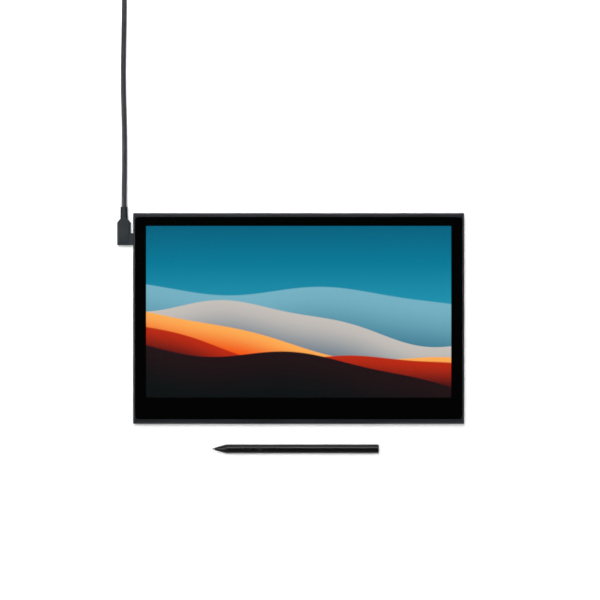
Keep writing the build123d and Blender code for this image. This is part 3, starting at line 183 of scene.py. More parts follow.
cordLine = bpy.data.curves.new("cord", "CURVE")
cordLine.dimensions = "3D"
cordLine.resolution_u = cordLook["stepsAlong"]
cordLine.bevel_depth = cordLook["diameter"] / 2
cordLine.bevel_resolution = cordLook["stepsRound"]
cordLine.use_fill_caps = True
spline = cordLine.splines.new("NURBS")
route = cordRoute()
spline.points.add(len(route) - 1)
for controlPoint, place in zip(spline.points, route):
    controlPoint.co = (*place, 1)
spline.order_u = cordLook["order"]
spline.use_endpoint_u = True
cord = bpy.data.objects.new("cord", cordLine)
bpy.context.collection.objects.link(cord)
print("cord laid,", len(route), "points")


# Strap round the coil: a band of hook and loop tape, lapped over itself on top

strapLook = {
    "thickness": 0.0008,
    "corner": 0.0030,
    "cornerSteps": 6,
    "cuts": 2,
    "edge": 0.00018,
    "edgeSteps": 2,
    "lapLengthShare": 0.62,
    "lapWidthShare": 0.97,
    "lapTipShare": 0.3,
    "endFacing": 0.9,
}

strapLow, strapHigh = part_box("cable_strap")
strapSize = strapHigh - strapLow
strapMiddle = (strapLow + strapHigh) / 2


def softenEdges(piece):
    width, steps = strapLook["edge"], strapLook["edgeSteps"]
    applyModifier(piece, "BEVEL", width=width, segments=steps, limit_method="ANGLE")
    settle(piece)


def makeStrap():
    thickness = strapLook["thickness"]
    bandHeight = strapSize.z - thickness
    deselectAll()
    bandAt = (strapMiddle.x, strapMiddle.y, strapLow.z + bandHeight / 2)
    bpy.ops.mesh.primitive_cube_add(size=1, location=bandAt)
    band = bpy.context.object
    band.name = "coilStrap"
    band.scale = (strapSize.x, strapSize.y, bandHeight)
    bpy.ops.object.transform_apply(location=False, rotation=False, scale=True)
    bpy.ops.object.mode_set(mode="EDIT")
    mesh = bmesh.from_edit_mesh(band.data)
    for edge in mesh.edges:
        run = edge.verts[0].co - edge.verts[1].co
        edge.select_set(abs(run.x) > strapSize.x / 2)
    bmesh.update_edit_mesh(band.data)
    bpy.ops.mesh.bevel(offset=strapLook["corner"], segments=strapLook["cornerSteps"], affect="EDGES")
    mesh = bmesh.from_edit_mesh(band.data)
    for face in mesh.faces:
        face.select_set(abs(face.normal.x) > strapLook["endFacing"])
    bmesh.update_edit_mesh(band.data)
    bpy.ops.mesh.delete(type="FACE")
    bpy.ops.mesh.select_all(action="SELECT")
    bpy.ops.mesh.subdivide(number_cuts=strapLook["cuts"])
    bpy.ops.object.mode_set(mode="OBJECT")
    applyModifier(band, "SOLIDIFY", thickness=thickness, offset=-1)
    softenEdges(band)
    return band


def makeStrapLap():
    # The free end on top, with a rounded tip
    thickness = strapLook["thickness"]
    lapWidth = strapLook["lapWidthShare"] * strapSize.x
    lapLength = strapLook["lapLengthShare"] * strapSize.y
    deselectAll()
    lapAt = (strapMiddle.x, strapMiddle.y, strapHigh.z - thickness / 2)
    bpy.ops.mesh.primitive_cube_add(size=1, location=lapAt)
    lap = bpy.context.object
    lap.name = "coilStrapLap"
    lap.scale = (lapWidth, lapLength, thickness)
    bpy.ops.object.transform_apply(location=False, rotation=False, scale=True)
    bpy.ops.object.mode_set(mode="EDIT")
    mesh = bmesh.from_edit_mesh(lap.data)
    for edge in mesh.edges:
        run = edge.verts[0].co - edge.verts[1].co
        atTip = edge.verts[0].co.y > 0 and edge.verts[1].co.y > 0
        edge.select_set(abs(run.z) > thickness / 2 and atTip)
    bmesh.update_edit_mesh(lap.data)
    tip = strapLook["lapTipShare"] * strapSize.x
    bpy.ops.mesh.bevel(offset=tip, segments=strapLook["cornerSteps"], affect="EDGES")
    bpy.ops.object.mode_set(mode="OBJECT")
    softenEdges(lap)
    return lap


coilStrap = makeStrap()
coilStrapLap = makeStrapLap()
print("strap wrapped")


# Shader groups that several finishes share

def addNode(tree, kind, settings=None, sockets=None):
    # Socket values that are other sockets are linked
    node = tree.nodes.new(kind)
    for key, value in (settings or {}).items():
        setattr(node, key, value)
    for key, value in (sockets or {}).items():
        if isinstance(value, bpy.types.NodeSocket):
            tree.links.new(value, node.inputs[key])
        else:
            node.inputs[key].default_value = value
    return node


def calc(tree, operation, first, second=0.0, clamp=False):
    settings = {"operation": operation, "use_clamp": clamp}
    return addNode(tree, "ShaderNodeMath", settings, {0: first, 1: second}).outputs[0]


def remap(tree, value, fromLow, fromHigh, toLow, toHigh, smooth=False):
    kind = "SMOOTHSTEP" if smooth else "LINEAR"
    sockets = {
        "Value": value, "From Min": fromLow, "From Max": fromHigh, "To Min": toLow, "To Max": toHigh,
    }
    return addNode(tree, "ShaderNodeMapRange", {"interpolation_type": kind}, sockets).outputs["Result"]


def vectorCalc(tree, operation, first, second=None):
    sockets = {0: first} if second is None else {0: first, 1: second}
    return addNode(tree, "ShaderNodeVectorMath", {"operation": operation}, sockets).outputs


def blendColours(tree, factor, first, second):
    # Node inputs 6 and 7 are the colour ones of a Mix node, and its output 2 is their blend
    node = addNode(tree, "ShaderNodeMix", {"data_type": "RGBA"})
    for socket, value in ((node.inputs[0], factor), (node.inputs[6], first), (node.inputs[7], second)):
        if isinstance(value, bpy.types.NodeSocket):
            tree.links.new(value, socket)
        elif isinstance(value, float):
            socket.default_value = value
        else:
            socket.default_value = (*value, 1)
    return node.outputs[2]


def newGroup(name, inputs, outputs):
    group = bpy.data.node_groups.new(name, "ShaderNodeTree")
    for socketName, kind, value in inputs:
        socket = group.interface.new_socket(socketName, in_out="INPUT", socket_type=kind)
        socket.default_value = value
    for socketName in outputs:
        group.interface.new_socket(socketName, in_out="OUTPUT", socket_type="NodeSocketFloat")
    start = addNode(group, "NodeGroupInput")
    end = addNode(group, "NodeGroupOutput")
    return group, start.outputs, end.inputs


def noiseAt(tree, vector, scale, shape):
    sockets = {
        "Vector": vector, "Scale": scale, "Detail": shape["detail"], "Roughness": shape["roughness"],
    }
    noise = addNode(tree, "ShaderNodeTexNoise", None, sockets).outputs["Fac"]
    if "span" not in shape:
        return noise
    return remap(tree, noise, *shape["span"], 0.0, 1.0, shape.get("smooth", False))


def objectPlace(tree):
    return addNode(tree, "ShaderNodeTexCoord").outputs["Object"]


def objectAxes(tree):
    return addNode(tree, "ShaderNodeSeparateXYZ", None, {0: objectPlace(tree)}).outputs


# Noises: how fine, how rough, and which span of their values counts

noiseShapes = {
    "grain": {"detail": 3.0, "roughness": 0.6, "span": (0.3, 0.7)},
    "patches": {"detail": 4.0, "roughness": 0.55, "span": (0.35, 0.65)},
    "marks": {"detail": 6.0, "roughness": 0.65, "span": (0.5, 0.72), "smooth": True},
    "marked": {"detail": 2.0, "roughness": 0.5, "span": (0.45, 0.6), "smooth": True},
    "worn": {"detail": 4.0, "roughness": 0.5, "span": (0.42, 0.62), "smooth": True},
    "nap": {"detail": 4.0, "roughness": 0.7},
}
markedAreaShare = 0.23  # how much broader the marked areas are than their marks
wornScale = 900.0


def makeGrainGroup():
    # Fine moulded grain, and broad soft patches where the surface is a little unlike itself
    inputs = [("Grain Size", "NodeSocketFloat", 0.0004), ("Patch Size", "NodeSocketFloat", 0.03)]
    group, start, end = newGroup("mouldedGrain", inputs, ["Grain", "Patches"])
    place = objectPlace(group)
    fineScale = calc(group, "DIVIDE", 1.0, start["Grain Size"])
    broadScale = calc(group, "DIVIDE", 1.0, start["Patch Size"])
    group.links.new(noiseAt(group, place, fineScale, noiseShapes["grain"]), end["Grain"])
    group.links.new(noiseAt(group, place, broadScale, noiseShapes["patches"]), end["Patches"])
    return group


def makeTouchGroup():
    # Places that hands and pen have polished or left a film on
    inputs = [("Mark Size", "NodeSocketFloat", 0.02), ("Amount", "NodeSocketFloat", 0.5)]
    group, start, end = newGroup("handledFilm", inputs, ["Film"])
    place = objectPlace(group)
    markScale = calc(group, "DIVIDE", 1.0, start["Mark Size"])
    marks = noiseAt(group, place, markScale, noiseShapes["marks"])
    areaScale = calc(group, "MULTIPLY", markScale, markedAreaShare)
    both = calc(group, "MULTIPLY", marks, noiseAt(group, place, areaScale, noiseShapes["marked"]))
    group.links.new(calc(group, "MULTIPLY", both, start["Amount"], True), end["Film"])
    return group


def makeRubGroup():
    # Edges of a box-shaped piece, broken up by noise, where its finish has rubbed
    inputs = [
        ("Centre", "NodeSocketVector", (0, 0, 0)),
        ("Half Size", "NodeSocketVector", (0.01, 0.01, 0.01)),
        ("Width", "NodeSocketFloat", 0.0005),
    ]
    group, start, end = newGroup("rubbedEdges", inputs, ["Rub"])
    place = objectPlace(group)
    offset = vectorCalc(group, "SUBTRACT", place, start["Centre"])[0]
    positive = vectorCalc(group, "ABSOLUTE", offset)[0]
    inside = vectorCalc(group, "SUBTRACT", start["Half Size"], positive)[0]
    depth = addNode(group, "ShaderNodeSeparateXYZ", None, {0: inside}).outputs
    lesser = calc(group, "MINIMUM", depth["X"], depth["Y"])
    greater = calc(group, "MAXIMUM", depth["X"], depth["Y"])
    second = calc(group, "MAXIMUM", lesser, calc(group, "MINIMUM", greater, depth["Z"]))
    near = remap(group, second, 0.0, start["Width"], 1.0, 0.0, True)
    broken = noiseAt(group, place, wornScale, noiseShapes["worn"])
    group.links.new(calc(group, "MULTIPLY", near, broken), end["Rub"])
    return group


def makeBrushGroup():
    # Lines of a rolled or turned metal, long along the stretched way
    inputs = [("Stretch", "NodeSocketVector", (200, 6000, 6000))]
    group, start, end = newGroup("rolledLines", inputs, ["Lines"])
    stretched = vectorCalc(group, "MULTIPLY", objectPlace(group), start["Stretch"])[0]
    group.links.new(noiseAt(group, stretched, 1.0, noiseShapes["grain"]), end["Lines"])
    return group


mouldedGrain = makeGrainGroup()
handledFilm = makeTouchGroup()
rubbedEdges = makeRubGroup()
rolledLines = makeBrushGroup()
print("shader groups built")


# Finishes

filmPolish = 0.12  # how much smoother a plastic is where hands have polished it
metalGrain = {"grain": 0.0006, "patch": 0.012}


def newFinish(name, look):
    # The look's shader entries are the same all over, so they go on the shader's own sockets
    material = bpy.data.materials.new(name)
    material.use_nodes = True
    tree = material.node_tree
    shader = tree.nodes["Principled BSDF"]
    for socketName, value in look.get("shader", {}).items():
        shader.inputs[socketName].default_value = value
    return material, tree, shader


def useGroup(tree, group, values):
    node = addNode(tree, "ShaderNodeGroup", {"node_tree": group})
    for socketName, value in values.items():
        node.inputs[socketName].default_value = value
    return node.outputs


def useGrain(tree, look):
    return useGroup(tree, mouldedGrain, {"Grain Size": look["grain"], "Patch Size": look["patch"]})


def useFilm(tree, look):
    size, amount = look["film"]
    return useGroup(tree, handledFilm, {"Mark Size": size, "Amount": amount})["Film"]


def twoTones(tree, factor, look):
    return blendColours(tree, factor, shown(*look["tones"][0]), shown(*look["tones"][1]))


def addBump(tree, shader, height, distance, strength=1.0):
    sockets = {"Height": height, "Distance": distance, "Strength": strength}
    bump = addNode(tree, "ShaderNodeBump", None, sockets)
    tree.links.new(bump.outputs["Normal"], shader.inputs["Normal"])


def nearWall(tree, low, high):
    # How far inside the four outer walls of a box a point lies
    place = objectAxes(tree)
    inside = []
    for axis, first, last in (("X", low.x, high.x), ("Y", low.y, high.y)):
        off = calc(tree, "ABSOLUTE", calc(tree, "SUBTRACT", place[axis], (first + last) / 2))
        inside.append(calc(tree, "SUBTRACT", (last - first) / 2, off))
    return calc(tree, "MINIMUM", *inside)


def insidePockets(tree, low, high, reach):
    # One where a point lies within the given share of a sleeve's width and height
    place = objectAxes(tree)
    deep = []
    for axis, first, last in (("X", low.x, high.x), ("Z", low.z, high.z)):
        off = calc(tree, "ABSOLUTE", calc(tree, "SUBTRACT", place[axis], (first + last) / 2))
        deep.append(calc(tree, "LESS_THAN", off, (last - first) / 2 * reach))
    return calc(tree, "MULTIPLY", *deep)


def mouldedFinish(name, look):
    # Moulded plastic, rubber or a sprayed coat: two close tones, grain, edges that have rubbed, and
    # painted shade along a piece's outer walls and inside its pockets
    material, tree, shader = newFinish(name, look)
    grain = useGrain(tree, look)
    colour = twoTones(tree, grain["Patches"], look)
    rough = remap(tree, grain["Patches"], 0.0, 1.0, *look["rough"])
    if "film" in look:
        polish = calc(tree, "MULTIPLY", useFilm(tree, look), filmPolish)
        rough = calc(tree, "SUBTRACT", rough, polish)
    # Painted shade: a darker tone along the piece's outer walls, where its outline falls into shade
    if "wall" in look:
        low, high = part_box(look["wall"])
        near = nearWall(tree, low, high)
        wall = remap(tree, near, look["wallDepth"] / 2, look["wallDepth"], 1.0, 0.0, True)
        colour = blendColours(tree, wall, colour, shown(*look["wallTone"]))
    # Painted shade: a dark tone inside the pockets, where their shadow falls
    if "pockets" in look:
        low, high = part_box(look["pockets"])
        deep = insidePockets(tree, low, high, look["pocketReach"])
        colour = blendColours(tree, deep, colour, shown(*look["pocketShadeTone"]))
    if "edges" in look:
        low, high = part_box(look["edges"])
        values = {"Centre": (low + high) / 2, "Half Size": (high - low) / 2, "Width": look["rubWidth"]}
        rub = useGroup(tree, rubbedEdges, values)["Rub"]
        rub = calc(tree, "MULTIPLY", rub, look["rubAmount"])
        colour = blendColours(tree, rub, colour, shown(*look["rubTone"]))
    tree.links.new(colour, shader.inputs["Base Color"])
    tree.links.new(rough, shader.inputs["Roughness"])
    addBump(tree, shader, grain["Grain"], look["bump"])
    return material


def metalFinish(name, look):
    material, tree, shader = newFinish(name, look)
    lines = useGroup(tree, rolledLines, {"Stretch": look["stretch"]})["Lines"]
    colour = twoTones(tree, useGrain(tree, metalGrain)["Patches"], look)
    tree.links.new(colour, shader.inputs["Base Color"])
    tree.links.new(remap(tree, lines, 0.0, 1.0, *look["rough"]), shader.inputs["Roughness"])
    addBump(tree, shader, lines, look["bump"])
    return material


def dress(material, *names):
    for name in names:
        nodes[name].data.materials.clear()
        nodes[name].data.materials.append(material)


frameLook = {
    "tones": [(26, 29, 33), (32, 35, 40)],
    "rough": (0.40, 0.48),
    "grain": 0.00035,
    "patch": 0.05,
    "bump": 0.000004,
    "film": (0.018, 0.6),
    # Painted shade along the frame's outline: its outer millimetre takes a near-black tone
    "wall": "front_frame",
    "wallDepth": 0.0010,
    "wallTone": (12, 13, 15),
    "shader": {"Specular IOR Level": 0.4},
}
dress(mouldedFinish("satinFrameCoat", frameLook), "front_frame", "power_button")

coverLook = {
    "tones": [(24, 25, 27), (31, 32, 35)],
    "rough": (0.55, 0.66),
    "grain": 0.0007,
    "patch": 0.06,
    "bump": 0.00002,
    "film": (0.03, 0.7),
    "shader": {"Specular IOR Level": 0.4},
}
dress(mouldedFinish("texturedCover", coverLook), "rear_cover")

legLook = {
    "tones": [(23, 24, 26), (30, 31, 33)],
    "rough": (0.5, 0.6),
    "grain": 0.0005,
    "patch": 0.02,
    "bump": 0.000012,
    "edges": "left_leg",
    "rubWidth": 0.0006,
    "rubAmount": 0.35,
    "rubTone": (78, 79, 82),
}
dress(mouldedFinish("leftLegPlastic", legLook), "left_leg")
dress(mouldedFinish("rightLegPlastic", {**legLook, "edges": "right_leg"}), "right_leg")

rubberLook = {
    "tones": [(28, 28, 29), (40, 40, 41)],
    "rough": (0.72, 0.86),
    "grain": 0.0003,
    "patch": 0.008,
    "bump": 0.00001,
    "shader": {"Specular IOR Level": 0.3},
}
dress(mouldedFinish("footRubber", rubberLook), "rubber_feet", "left_leg_tip", "right_leg_tip")

plugLook = {
    "tones": [(40, 45, 49), (46, 51, 55)],
    "rough": (0.38, 0.46),
    "grain": 0.00025,
    "patch": 0.01,
    "bump": 0.000004,
    "edges": "angled_plug",
    "rubWidth": 0.0005,
    "rubAmount": 0.25,
    "rubTone": (76, 79, 84),
    "shader": {"Specular IOR Level": 0.2},
}
dress(mouldedFinish("plugMoulding", plugLook), "angled_plug")
# The sleeve's pockets take a near-black tone: painted shade inside them
sleeveLook = {**plugLook, "pockets": "strain_relief", "pocketReach": 0.86, "pocketShadeTone": (9, 10, 11)}
dress(mouldedFinish("sleeveMoulding", sleeveLook), "strain_relief")
dress(mouldedFinish("hostPlugMoulding", {**plugLook, "edges": "host_plug"}), "host_plug", "host_relief")

jacketLook = {
    "tones": [(44, 43, 48), (50, 49, 54)],
    "rough": (0.30, 0.36),
    "grain": 0.0002,
    "patch": 0.012,
    "bump": 0.000004,
    "film": (0.012, 0.4),
}
jacket = mouldedFinish("cordJacket", jacketLook)

penLook = {
    "tones": [(3, 3, 4), (6, 6, 7)],
    "rough": (0.30, 0.37),
    "grain": 0.00022,
    "patch": 0.02,
    "bump": 0.000003,
    "film": (0.01, 0.8),
    "shader": {"Specular IOR Level": 0.5},
}
dress(mouldedFinish("softTouchPen", penLook), "pen_nose", "pen_barrel", "pen_end_cap")

rockerLook = {
    "tones": [(12, 12, 14), (17, 17, 19)],
    "rough": (0.26, 0.34),
    "grain": 0.0003,
    "patch": 0.01,
    "bump": 0.000002,
    "film": (0.006, 0.8),
    "shader": {"Specular IOR Level": 0.35},
}
dress(mouldedFinish("rockerPlastic", rockerLook), "pen_rocker")

nibLook = {
    "tones": [(122, 120, 124), (150, 148, 152)],
    "rough": (0.5, 0.65),
    "grain": 0.0002,
    "patch": 0.001,
    "bump": 0.000004,
}
dress(mouldedFinish("wornNib", nibLook), "pen_nib")

whiteLook = {
    "tones": [(214, 214, 210), (226, 226, 222)],
    "rough": (0.45, 0.55),
    "grain": 0.0004,
    "patch": 0.01,
    "bump": 0.000004,
}
dress(
    mouldedFinish("whitePlastic", whiteLook),
    "pen_chassis", "reflector_sheet", "led_bar", "flat_cable",
)

chipLook = {
    "tones": [(28, 28, 30), (40, 40, 42)],
    "rough": (0.5, 0.65),
    "grain": 0.00015,
    "patch": 0.004,
    "bump": 0.000005,
}
dress(
    mouldedFinish("mouldedBlack", chipLook),
    "board_parts", "usb_blade", "plug_insert", "host_insert", "pen_ferrite", "glass_tape",
)

sheetLook = {
    "tones": [(172, 174, 176), (188, 190, 192)],
    "rough": (0.28, 0.42),
    "stretch": (120, 5000, 5000),
    "bump": 0.000002,
    "shader": {"Metallic": 1.0},
}
dress(metalFinish("rolledSheet", sheetLook), "panel_frame", "sensor_shield")

steelLook = {
    "tones": [(188, 188, 190), (204, 204, 206)],
    "rough": (0.16, 0.26),
    "stretch": (900, 9000, 9000),
    "bump": 0.000001,
    "shader": {"Metallic": 1.0},
}
dress(
    metalFinish("platedSteel", steelLook),
    "usb_socket", "plug_shell", "host_shell", "pressure_sensor", "pen_switches", "hinge_pins",
)

screwLook = {
    "tones": [(46, 46, 48), (62, 62, 64)],
    "rough": (0.3, 0.42),
    "stretch": (4000, 4000, 500),
    "bump": 0.000002,
    "shader": {"Metallic": 1.0},
}
dress(metalFinish("blackenedScrews", screwLook), "case_screws", "board_screws")

copperLook = {
    "tones": [(176, 92, 48), (204, 120, 66)],
    "rough": (0.2, 0.34),
    "stretch": (9000, 300, 300),
    "bump": 0.00002,
    "shader": {"Metallic": 1.0},
}
dress(metalFinish("enamelledWire", copperLook), "pen_winding")
print("moulded and metal finishes done")


# Circuit boards: green solder mask with paler copper tracks under it

boardLook = {
    "mask": (16, 74, 46),
    "track": (38, 112, 70),
    "rough": (0.3, 0.42),
    "trackScale": 260.0,
    "tracksPerCell": 7.0,
    "trackFrom": 0.5,
    "trackTo": 0.62,
    "bump": 0.00002,
}


def boardFinish(name, look):
    material, tree, shader = newFinish(name, look)
    settings = {"distance": "CHEBYCHEV", "feature": "F1"}
    sockets = {"Vector": objectPlace(tree), "Scale": look["trackScale"]}
    cells = addNode(tree, "ShaderNodeTexVoronoi", settings, sockets).outputs["Distance"]
    bands = calc(tree, "FRACT", calc(tree, "MULTIPLY", cells, look["tracksPerCell"]))
    tracks = remap(tree, bands, look["trackFrom"], look["trackTo"], 0.0, 1.0, True)
    colour = blendColours(tree, tracks, shown(*look["mask"]), shown(*look["track"]))
    tree.links.new(colour, shader.inputs["Base Color"])
    tree.links.new(remap(tree, tracks, 0.0, 1.0, *look["rough"]), shader.inputs["Roughness"])
    addBump(tree, shader, tracks, look["bump"])
    return material


dress(
    boardFinish("solderMask", boardLook),
    "digitizer_board", "main_board", "driver_board", "button_board", "pen_board",
)


# Clear layers between the glass and the panel

clearLook = {
    "rough": (0.0, 0.02),
    "grain": 0.002,
    "patch": 0.05,
    "shader": {"Transmission Weight": 1.0, "IOR": 1.48, "Base Color": (1, 1, 1, 1)},
}


def clearFinish(name, look):
    material, tree, shader = newFinish(name, look)
    grain = useGrain(tree, look)
    tree.links.new(remap(tree, grain["Patches"], 0.0, 1.0, *look["rough"]), shader.inputs["Roughness"])
    return material


dress(clearFinish("clearBond", clearLook), "optical_bond", "optical_films", "light_guide")

glassLook = {
    "rough": (0.12, 0.15),
    "grain": 0.00012,
    "patch": 0.06,
    "bump": 0.0000006,
    "film": (0.012, 0.35),
    "filmRough": 0.03,
    "shader": {"Transmission Weight": 1.0, "IOR": 1.38, "Base Color": (1, 1, 1, 1)},
}


def etchedGlass(name, look):
    # Fine etch and a coat against glare, so a low index, with the faintest film where a hand rests
    material, tree, shader = newFinish(name, look)
    grain = useGrain(tree, look)
    rough = remap(tree, grain["Patches"], 0.0, 1.0, *look["rough"])
    film = calc(tree, "MULTIPLY", useFilm(tree, look), look["filmRough"])
    tree.links.new(calc(tree, "ADD", rough, film), shader.inputs["Roughness"])
    addBump(tree, shader, grain["Grain"], look["bump"])
    return material


dress(etchedGlass("etchedGlass", glassLook), "cover_glass")


# Black print behind the border, with three faint touch rings

printLook = {
    "tones": [(12, 12, 17), (18, 18, 24)],
    "ringTone": (140, 140, 148),
    "rough": (0.4, 0.5),
    "grain": 0.0003,
    "patch": 0.04,
    "rings": [  # x, y and radius of each
        (-0.1605, 0.0764, 0.0012),
        (-0.1605, 0.0722, 0.0012),
        (0.1605, 0.0750, 0.0024),
    ],
    "ringWidth": 0.0003,
    "shader": {"Specular IOR Level": 0.2},
}


def borderPrint(name, look):
    material, tree, shader = newFinish(name, look)
    flat = vectorCalc(tree, "MULTIPLY", objectPlace(tree), (1, 1, 0))[0]
    ringMask = 0.0
    for x, y, radius in look["rings"]:
        away = vectorCalc(tree, "DISTANCE", flat, (x, y, 0))["Value"]
        off = calc(tree, "ABSOLUTE", calc(tree, "SUBTRACT", away, radius))
        ring = remap(tree, off, look["ringWidth"] / 2, look["ringWidth"], 1.0, 0.0, True)
        ringMask = calc(tree, "MAXIMUM", ring, ringMask)
    grain = useGrain(tree, look)
    ink = twoTones(tree, grain["Patches"], look)
    colour = blendColours(tree, ringMask, ink, shown(*look["ringTone"]))
    tree.links.new(colour, shader.inputs["Base Color"])
    tree.links.new(remap(tree, grain["Patches"], 0.0, 1.0, *look["rough"]), shader.inputs["Roughness"])
    return material


dress(borderPrint("borderPrint", printLook), "black_mask")


# Picture on the panel: plain layered waves, deep at the top and dark at the foot

pictureLook = {
    "border": 0.0014,
    "tones": [(6, 7, 8), (9, 10, 11)],
    "rough": (0.3, 0.4),
    "grain": 0.0003,
    "patch": 0.05,
    "rippleCount": 2.3,
    "rippleShare": 0.3,
    "shader": {"Specular IOR Level": 0.3, "Emission Strength": 1.08},
    "sky": [
        (0.0, (190, 176, 176)),
        (0.30, (138, 178, 198)),
        (0.55, (30, 144, 172)),
        (0.78, (0, 120, 150)),
        (1.0, (0, 96, 124)),
    ],
    "waves": [
        {
            "level": 0.22, "tilt": -0.16, "swell": 0.10,
            "count": 0.8, "shift": 0.4,
            "reach": 0.80, "soft": 0.010,
            "crest": (116, 176, 194), "deep": (36, 104, 130),
        },
        {
            "level": -0.08, "tilt": -0.20, "swell": 0.12,
            "count": 0.95, "shift": 2.3,
            "reach": 0.55, "soft": 0.010,
            "crest": (196, 190, 184), "deep": (96, 118, 134),
        },
        {
            "level": -0.32, "tilt": -0.24, "swell": 0.11,
            "count": 0.75, "shift": 4.0,
            "reach": 0.32, "soft": 0.014,
            "crest": (252, 172, 84), "deep": (240, 84, 16),
        },
        {
            "level": -0.46, "tilt": -0.24, "swell": 0.12,
            "count": 0.9, "shift": 5.4,
            "reach": 0.34, "soft": 0.016,
            "crest": (186, 40, 14), "deep": (40, 12, 16),
        },
        {
            "level": -0.58, "tilt": -0.28, "swell": 0.11,
            "count": 0.85, "shift": 0.9,
            "reach": 0.5, "soft": 0.016,
            "crest": (30, 14, 18), "deep": (6, 12, 14),
        },
    ],
}


def wavePicture(name, look):
    material, tree, shader = newFinish(name, look)
    low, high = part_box("light_guide")  # the lit area lies over the guide, a little inside it
    middle = (low + high) / 2
    half = (high - low) / 2 - Vector((look["border"], look["border"], 0))
    place = objectAxes(tree)
    across = calc(tree, "DIVIDE", place["X"], half.x)
    up = calc(tree, "DIVIDE", calc(tree, "SUBTRACT", place["Y"], middle.y), half.y)
    ramp = addNode(tree, "ShaderNodeValToRGB", None, {0: remap(tree, up, -1.0, 1.0, 0.0, 1.0)})
    stops = ramp.color_ramp.elements
    while len(stops) < len(look["sky"]):
        stops.new(0.5)
    for stop, (position, tone) in zip(stops, look["sky"]):
        stop.position = position
        stop.color = (*shown(*tone), 1)
    colour = ramp.outputs["Color"]
    for wave in look["waves"]:
        phase = calc(tree, "ADD", calc(tree, "MULTIPLY", across, wave["count"] * pi), wave["shift"])
        long = calc(tree, "MULTIPLY", calc(tree, "SINE", phase), wave["swell"])
        ripple = calc(tree, "SINE", calc(tree, "MULTIPLY", phase, look["rippleCount"]))
        short = calc(tree, "MULTIPLY", ripple, wave["swell"] * look["rippleShare"])
        slope = calc(tree, "ADD", calc(tree, "MULTIPLY", across, wave["tilt"]), wave["level"])
        crestLine = calc(tree, "ADD", calc(tree, "ADD", long, short), slope)
        below = calc(tree, "SUBTRACT", crestLine, up)
        inWave = remap(tree, below, 0.0, wave["soft"], 0.0, 1.0, True)
        depth = remap(tree, below, 0.0, wave["reach"], 0.0, 1.0, True)
        body = blendColours(tree, depth, shown(*wave["crest"]), shown(*wave["deep"]))
        colour = blendColours(tree, inWave, colour, body)
    tree.links.new(colour, shader.inputs["Emission Color"])
    patches = useGrain(tree, look)["Patches"]
    tree.links.new(twoTones(tree, patches, look), shader.inputs["Base Color"])
    tree.links.new(remap(tree, patches, 0.0, 1.0, *look["rough"]), shader.inputs["Roughness"])
    return material


dress(wavePicture("wavePicture", pictureLook), "lcd_cell")
print("glass, print and picture done")


# Strap fabric: a nap of fine loops, with painted shade in the hollows between them, so they are paler
# where they stand high

strapFabric = {
    "tones": [(24, 24, 26), (44, 44, 46)],
    "loop": 0.00028,
    "napScale": 2500.0,
    "napShare": 0.5,
    "bump": 0.00018,
    "bumpStrength": 0.6,
    "shader": {
        "Roughness": 0.9, "Sheen Weight": 0.25, "Sheen Roughness": 0.5, "Specular IOR Level": 0.2,
    },
}


def loopFabric(name, look):
    material, tree, shader = newFinish(name, look)
    place = objectPlace(tree)
    sockets = {"Vector": place, "Scale": 1 / look["loop"]}
    loops = addNode(tree, "ShaderNodeTexVoronoi", {"feature": "F1"}, sockets).outputs["Distance"]
    nap = noiseAt(tree, place, look["napScale"], noiseShapes["nap"])
    height = calc(tree, "ADD", loops, calc(tree, "MULTIPLY", nap, look["napShare"]))
    # Painted shade: the colour follows the loops' height, darker in the hollows between them
    tree.links.new(twoTones(tree, height, look), shader.inputs["Base Color"])
    addBump(tree, shader, height, look["bump"], look["bumpStrength"])
    return material


fabric = loopFabric("loopFabric", strapFabric)
for piece in (coilStrap, coilStrapLap):
    piece.data.materials.clear()
    piece.data.materials.append(fabric)
cordLine.materials.append(jacket)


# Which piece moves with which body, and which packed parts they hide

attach(cord, "cable")
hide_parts("cable_run", "cable_coil", "cable_tail")
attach(coilStrap, "cable")
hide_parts("cable_strap")
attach(coilStrapLap, "cable")
print("pieces ride on their bodies")


# Studio: white floor, a matt lamp overhead, lamps behind and beside that only shine, and one below

studioLook = {
    "floorSize": 8.0,
    "floorTone": 0.80,
    "floorLift": 0.34,
    "fadeFrom": 0.20,
    "fadeTo": 0.62,
    "horizonLight": 0.22,
    "ceilingLight": 0.04,
    "horizonBelow": 0.50,  # height of a direction, where nought is level and one is straight up
    "ceilingAbove": 0.93,
}

# Each lamp's name, place, size, watts, and whether matt and glossy surfaces take its light
lamps = [
    ("topLamp", (-0.16, 0.38, 1.50), (0.50, 0.50), 21.0, True, False),
    ("backLamp", (-0.05, 0.93, 0.97), (0.85, 0.62), 6.6, False, True),
    ("leftLamp", (-1.25, 0.10, 0.80), (0.25, 0.90), 11.0, False, True),
    ("rightLamp", (1.25, 0.10, 0.80), (0.25, 0.90), 0.9, False, True),
    ("groundLamp", (-0.15, -0.20, -1.50), (0.80, 0.80), 16.0, True, True),
]


def lightPathMask(tree):
    # Rays from the camera, off gloss and through glass see the white background
    path = addNode(tree, "ShaderNodeLightPath").outputs
    either = calc(tree, "MAXIMUM", path["Is Camera Ray"], path["Is Glossy Ray"])
    return calc(tree, "MAXIMUM", either, path["Is Transmission Ray"])


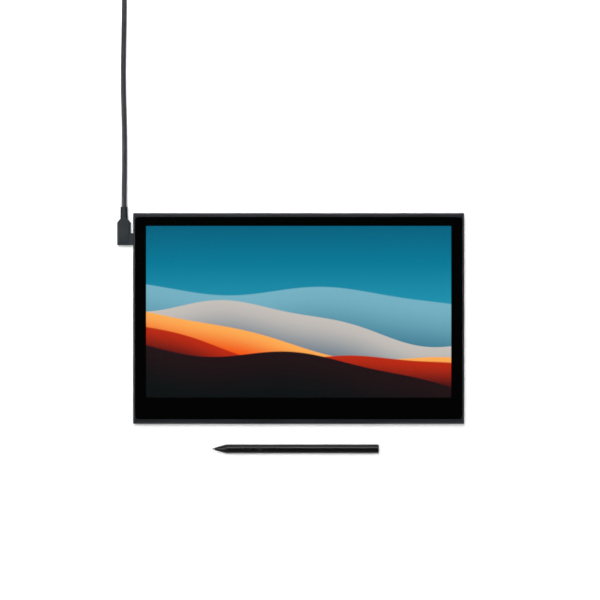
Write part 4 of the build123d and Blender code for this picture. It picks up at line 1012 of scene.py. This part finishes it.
def makeFloor():
    # Clear from below, and to the lamp under it, so that the underside and the legs show
    deselectAll()
    bpy.ops.mesh.primitive_plane_add(size=studioLook["floorSize"], location=(0, 0, 0))
    floor = bpy.context.object
    floor.name = "floor"
    material = bpy.data.materials.new("paleFloor")
    material.use_nodes = True
    tree = material.node_tree
    tree.nodes.remove(tree.nodes["Principled BSDF"])
    tone = studioLook["floorTone"]
    matt = addNode(tree, "ShaderNodeBsdfDiffuse", None, {"Color": (tone, tone, tone, 1)})
    reach = vectorCalc(tree, "LENGTH", objectPlace(tree))["Value"]
    fade = (studioLook["fadeFrom"], studioLook["fadeTo"])
    lift = remap(tree, reach, *fade, studioLook["floorLift"], 1.0, True)
    lift = calc(tree, "MULTIPLY", lightPathMask(tree), lift)
    glow = addNode(tree, "ShaderNodeEmission", None, {"Color": (1, 1, 1, 1), "Strength": lift})
    both = addNode(tree, "ShaderNodeAddShader", None, {0: matt.outputs[0], 1: glow.outputs[0]})
    fromBelow = addNode(tree, "ShaderNodeNewGeometry").outputs["Backfacing"]
    lit = addNode(tree, "ShaderNodeLightPath").outputs["Is Shadow Ray"]
    clear = addNode(tree, "ShaderNodeBsdfTransparent").outputs[0]
    unseen = calc(tree, "MAXIMUM", fromBelow, lit)
    sided = addNode(tree, "ShaderNodeMixShader", None, {0: unseen, 1: both.outputs[0], 2: clear})
    tree.links.new(sided.outputs[0], tree.nodes["Material Output"].inputs["Surface"])
    floor.data.materials.append(material)


def makeLamp(name, place, size, watts, onMatt, onGloss):
    # It faces the middle of the floor
    deselectAll()
    turn = (-Vector(place)).to_track_quat("-Z", "Y").to_euler()
    bpy.ops.object.light_add(type="AREA", location=place, rotation=turn)
    light = bpy.context.object
    light.name = name
    light.data.shape = "RECTANGLE"
    light.data.size, light.data.size_y = size
    light.data.energy = watts
    light.visible_diffuse = onMatt
    light.visible_glossy = onGloss
    light.visible_transmission = onGloss


def makeWorld():
    # White to the camera, and a room that is pale at the sides and dark overhead to what it lights
    world = bpy.data.worlds.new("paleRoom")
    world.use_nodes = True
    bpy.context.scene.world = world
    tree = world.node_tree
    around = addNode(tree, "ShaderNodeTexCoord").outputs["Generated"]
    height = addNode(tree, "ShaderNodeSeparateXYZ", None, {0: around}).outputs["Z"]
    heights = (studioLook["horizonBelow"], studioLook["ceilingAbove"])
    room = remap(tree, height, *heights, studioLook["horizonLight"], studioLook["ceilingLight"], True)
    seen = addNode(tree, "ShaderNodeLightPath").outputs["Is Camera Ray"]
    strength = calc(tree, "MAXIMUM", room, seen)
    tree.links.new(strength, tree.nodes["Background"].inputs["Strength"])
    tree.nodes["Background"].inputs["Color"].default_value = (1, 1, 1, 1)


makeFloor()
for lamp in lamps:
    makeLamp(*lamp)
makeWorld()
bpy.context.scene.view_settings.view_transform = "Standard"
print("studio lit")
